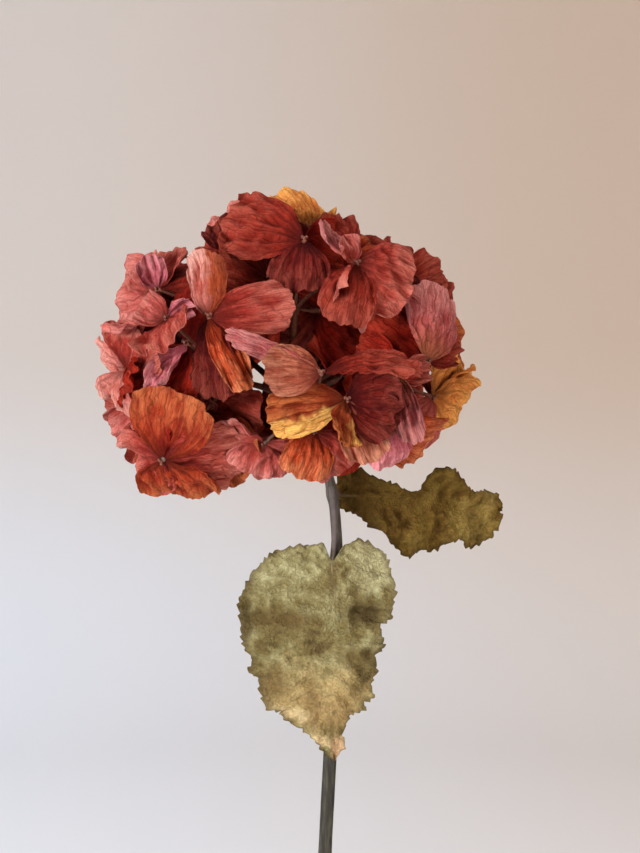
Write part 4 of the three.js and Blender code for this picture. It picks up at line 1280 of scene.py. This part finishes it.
def leaf_paper(name, tones, blotches):
    """A dry leaf's blade: tones from dark to light, and blotches as place and half sizes in mm."""
    paper = new_material(name)
    plan = add_node(paper, "UVMap", {"uv_map": "plan"})
    plan_axes = add_node(paper, "SeparateXYZ", {}, {"Vector": (plan, "UV")})
    cloud = add_node(
        paper, "TexNoise", {}, {"Vector": (plan, "UV"), "Scale": 60.0, "Detail": 7.0, "Roughness": 0.68}
    )
    folds = add_node(paper, "UVMap", {"uv_map": "folds"})
    fold_axes = add_node(paper, "SeparateXYZ", {}, {"Vector": (folds, "UV")})
    # Painted shade in the crumple's hollows and a painted highlight on its ridges, over clouds of tone
    cloud_and_fold_shade = add_node(
        paper, "Math", {"operation": "MULTIPLY_ADD"}, {0: (fold_axes, "X"), 1: 0.2, 2: (cloud, "Fac")}
    )
    tone = add_node(paper, "ValToRGB", {}, {"Fac": (cloud_and_fold_shade, 0)})
    set_stops(tone, list(zip((0.44, 0.55, 0.66, 0.8), tones)))
    colour = (tone, "Color")
    # Each blotch is the leaf's own colour, except one painted shadow under a fold on the pale leaf
    for (x, t), (half_x, half_t), strength, blotch_colour in blotches:
        off = add_node(
            paper, "VectorMath", {"operation": "SUBTRACT"},
            {0: (plan, "UV"), 1: (x * 0.001, t * 0.001, 0)},
        )
        scaled = add_node(
            paper, "VectorMath", {"operation": "MULTIPLY"},
            {0: (off, 0), 1: (1000 / half_x, 1000 / half_t, 0)},
        )
        gap = add_node(paper, "VectorMath", {"operation": "LENGTH"}, {0: (scaled, 0)})
        ragged = add_node(
            paper, "Math", {"operation": "MULTIPLY_ADD"}, {0: (cloud, "Fac"), 1: -3.2, 2: (gap, "Value")}
        )
        share = add_node(
            paper, "MapRange", {"interpolation_type": "SMOOTHSTEP"},
            {"Value": (ragged, 0), "From Min": -1.3, "From Max": -0.3, "To Min": strength, "To Max": 0.0},
        )
        blotched = add_node(paper, "Mix", {"data_type": "RGBA"}, {0: (share, 0), 6: colour, 7: linear(blotch_colour)})
        colour = (blotched, 2)
    aside = add_node(paper, "Math", {"operation": "ABSOLUTE"}, {0: (plan_axes, "X")})
    slant = add_node(
        paper, "Math", {"operation": "MULTIPLY_ADD"},
        {0: (aside, 0), 1: -side_vein_slant, 2: (plan_axes, "Y")},
    )
    strayed = add_node(
        paper, "Math", {"operation": "MULTIPLY_ADD"}, {0: (cloud, "Fac"), 1: 0.014, 2: (slant, 0)}
    )
    turns = add_node(paper, "Math", {"operation": "MULTIPLY"}, {0: (strayed, 0), 1: 1000 / side_vein_gap})
    beside = add_node(paper, "Math", {"operation": "PINGPONG"}, {0: (turns, 0), 1: 0.5})
    side_vein = add_node(
        paper, "MapRange", {}, {"Value": (beside, 0), "From Max": 0.06, "To Min": 0.4, "To Max": 0.0}
    )
    net = add_node(
        paper, "TexVoronoi", {"feature": "DISTANCE_TO_EDGE"}, {"Vector": (plan, "UV"), "Scale": 520.0}
    )
    net_line = add_node(
        paper, "MapRange", {}, {"Value": (net, "Distance"), "From Max": 0.14, "To Min": 0.22, "To Max": 0.0}
    )
    lines = add_node(paper, "Math", {"operation": "MAXIMUM"}, {0: (side_vein, 0), 1: (net_line, 0)})
    margin_noise = add_node(
        paper, "Math", {"operation": "MULTIPLY_ADD"}, {0: (cloud, "Fac"), 1: 0.3, 2: (fold_axes, "Y")}
    )
    margin = add_node(
        paper, "MapRange", {"interpolation_type": "SMOOTHSTEP"},
        {"Value": (margin_noise, 0), "From Min": 1.02, "From Max": 1.16, "To Max": 0.7},
    )
    dark_lines = add_node(paper, "Math", {"operation": "MAXIMUM"}, {0: (lines, 0), 1: (margin, 0)})
    veined = add_node(
        paper, "Mix", {"data_type": "RGBA"}, {0: (dark_lines, 0), 6: colour, 7: linear(tones[0])}
    )
    fine = add_node(
        paper, "TexNoise", {}, {"Vector": (plan, "UV"), "Scale": 420.0, "Detail": 4.0, "Roughness": 0.7}
    )
    mottled = add_node(
        paper, "MapRange", {},
        {"Value": (fine, "Fac"), "From Min": 0.3, "From Max": 0.7, "To Min": 0.72, "To Max": 1.25},
    )
    shade = add_node(paper, "HueSaturation", {}, {"Color": (veined, 2), "Value": (mottled, 0)})
    puckered = add_node(paper, "Math", {"operation": "MINIMUM"}, {0: (net, "Distance"), 1: 0.4})
    height = add_node(
        paper, "Math", {"operation": "MULTIPLY_ADD"}, {0: (puckered, 0), 1: 0.9, 2: (fine, "Fac")}
    )
    relief = add_node(paper, "Bump", {}, {"Height": (height, 0), "Strength": 1.0, "Distance": 0.0013})
    surface = add_node(
        paper, "BsdfPrincipled", {},
        {
            "Base Color": (shade, 0), "Roughness": 0.82, "IOR": 1.35,
            "Specular IOR Level": 0.2, "Normal": (relief, 0),
        },
    )
    glow = add_node(paper, "BsdfTranslucent", {}, {"Color": (shade, 0)})
    mixed = add_node(paper, "MixShader", {}, {0: 0.14, 1: (surface, 0), 2: (glow, 0)})
    add_node(paper, "OutputMaterial", {}, {"Surface": (mixed, 0)})
    return paper


def rib_wood(name, stalk, rib):
    """The leaf's stalk as it leaves the stem, turning into the rib on the blade."""
    wood = new_material(name)
    plan = add_node(wood, "UVMap", {"uv_map": "plan"})
    plan_axes = add_node(wood, "SeparateXYZ", {}, {"Vector": (plan, "UV")})
    place = add_node(wood, "TexCoord")
    grain = add_node(wood, "TexNoise", {}, {"Vector": (place, "Object"), "Scale": 300.0, "Detail": 3.0})
    astray = add_node(
        wood, "Math", {"operation": "MULTIPLY_ADD"}, {0: (grain, "Fac"), 1: 0.008, 2: (plan_axes, "Y")}
    )
    share = add_node(
        wood, "MapRange", {"interpolation_type": "SMOOTHSTEP"},
        {"Value": (astray, 0), "From Min": -0.004, "From Max": 0.012},
    )
    tone = add_node(wood, "Mix", {"data_type": "RGBA"}, {0: (share, 0), 6: linear(stalk), 7: linear(rib)})
    light = add_node(wood, "MapRange", {}, {"Value": (grain, "Fac"), "To Min": 0.5, "To Max": 1.5})
    shade = add_node(wood, "HueSaturation", {}, {"Color": (tone, 2), "Value": (light, 0)})
    surface = add_node(
        wood, "BsdfPrincipled", {},
        {"Base Color": (shade, 0), "Roughness": 0.8, "Specular IOR Level": 0.25},
    )
    add_node(wood, "OutputMaterial", {}, {"Surface": (surface, 0)})
    return wood


pale_leaf = leaf_paper(
    "dry leaf, pale olive", ("#58482A", "#74653C", "#8F855A", "#B0A97C"),
    [
        ((-5, 60), (26, 17), 0.55, "#C2A26A"),
        # The dark blotch at (14, 22) is a painted shadow under the fold that curls over above it
        ((-20, 25), (15, 6), 0.8, "#5C4826"), ((14, 22), (10, 5), 0.9, "#4A3C20"),
        ((11, 40), (10, 5), 0.7, "#64512C"), ((-38, 24), (3, 12), 0.8, "#443518"),
        ((-26, 52), (8, 7), 0.75, "#68502A"), ((-9, 60), (4, 14), 0.7, "#765A32"),
        ((2, 66), (14, 10), 0.5, "#8E7044"), ((-19, 66), (9, 3.5), 0.9, "#C8B080"),
        ((-8, 76), (7, 3), 0.9, "#D0B484"), ((3, 82), (4, 7), 0.8, "#D6AE84"),
        ((0, 6), (2.5, 12), 0.7, "#5C4A2C"), ((16, 2), (11, 11), 0.55, "#BDB68A"),
    ],
)
dark_leaf = leaf_paper(
    "dry leaf, olive brown", ("#42300E", "#5C4218", "#725924", "#8A7038"),
    [
        ((0, 12), (18, 14), 0.75, "#46300C"), ((6, 34), (14, 9), 0.7, "#4C340E"),
        ((-8, 70), (14, 16), 0.6, "#967E42"), ((12, 78), (10, 10), 0.6, "#9A8048"),
    ],
)
pale_rib = rib_wood("dry leaf rib, pale", "#564C48", "#7E7048")
dark_rib = rib_wood("dry leaf rib, dark", "#4A3E32", "#4E3A18")
for name, leaf, stalk, paper, rib, seed in (
    (
        "leaf_front", front_leaf,
        [(9.6, -stem_radius - clearance, 374), (10.2, -7, 368), (10.8, -9.5, 358), (10.4, -11.5, 348)],
        pale_leaf, pale_rib, 3,
    ),
    (
        "leaf_rear", rear_leaf, [(10.8, stem_radius + clearance, 371), (11.6, 5, 371)],
        dark_leaf, dark_rib, 8,
    ),
):
    points, faces, plan, folds, blade_faces = leaf_mesh(leaf, stalk, seed)
    made = object_of(name + "_blade", points, faces)
    lay_maps(made, {"plan": plan, "folds": folds})
    made.data.materials.append(paper)
    made.data.materials.append(rib)
    made.data.polygons.foreach_set(
        "material_index", [0] * blade_faces + [1] * (len(faces) - blade_faces)
    )
    made.data.set_sharp_from_angle(angle=math.radians(60))
    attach(made, "root")
    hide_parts(name)
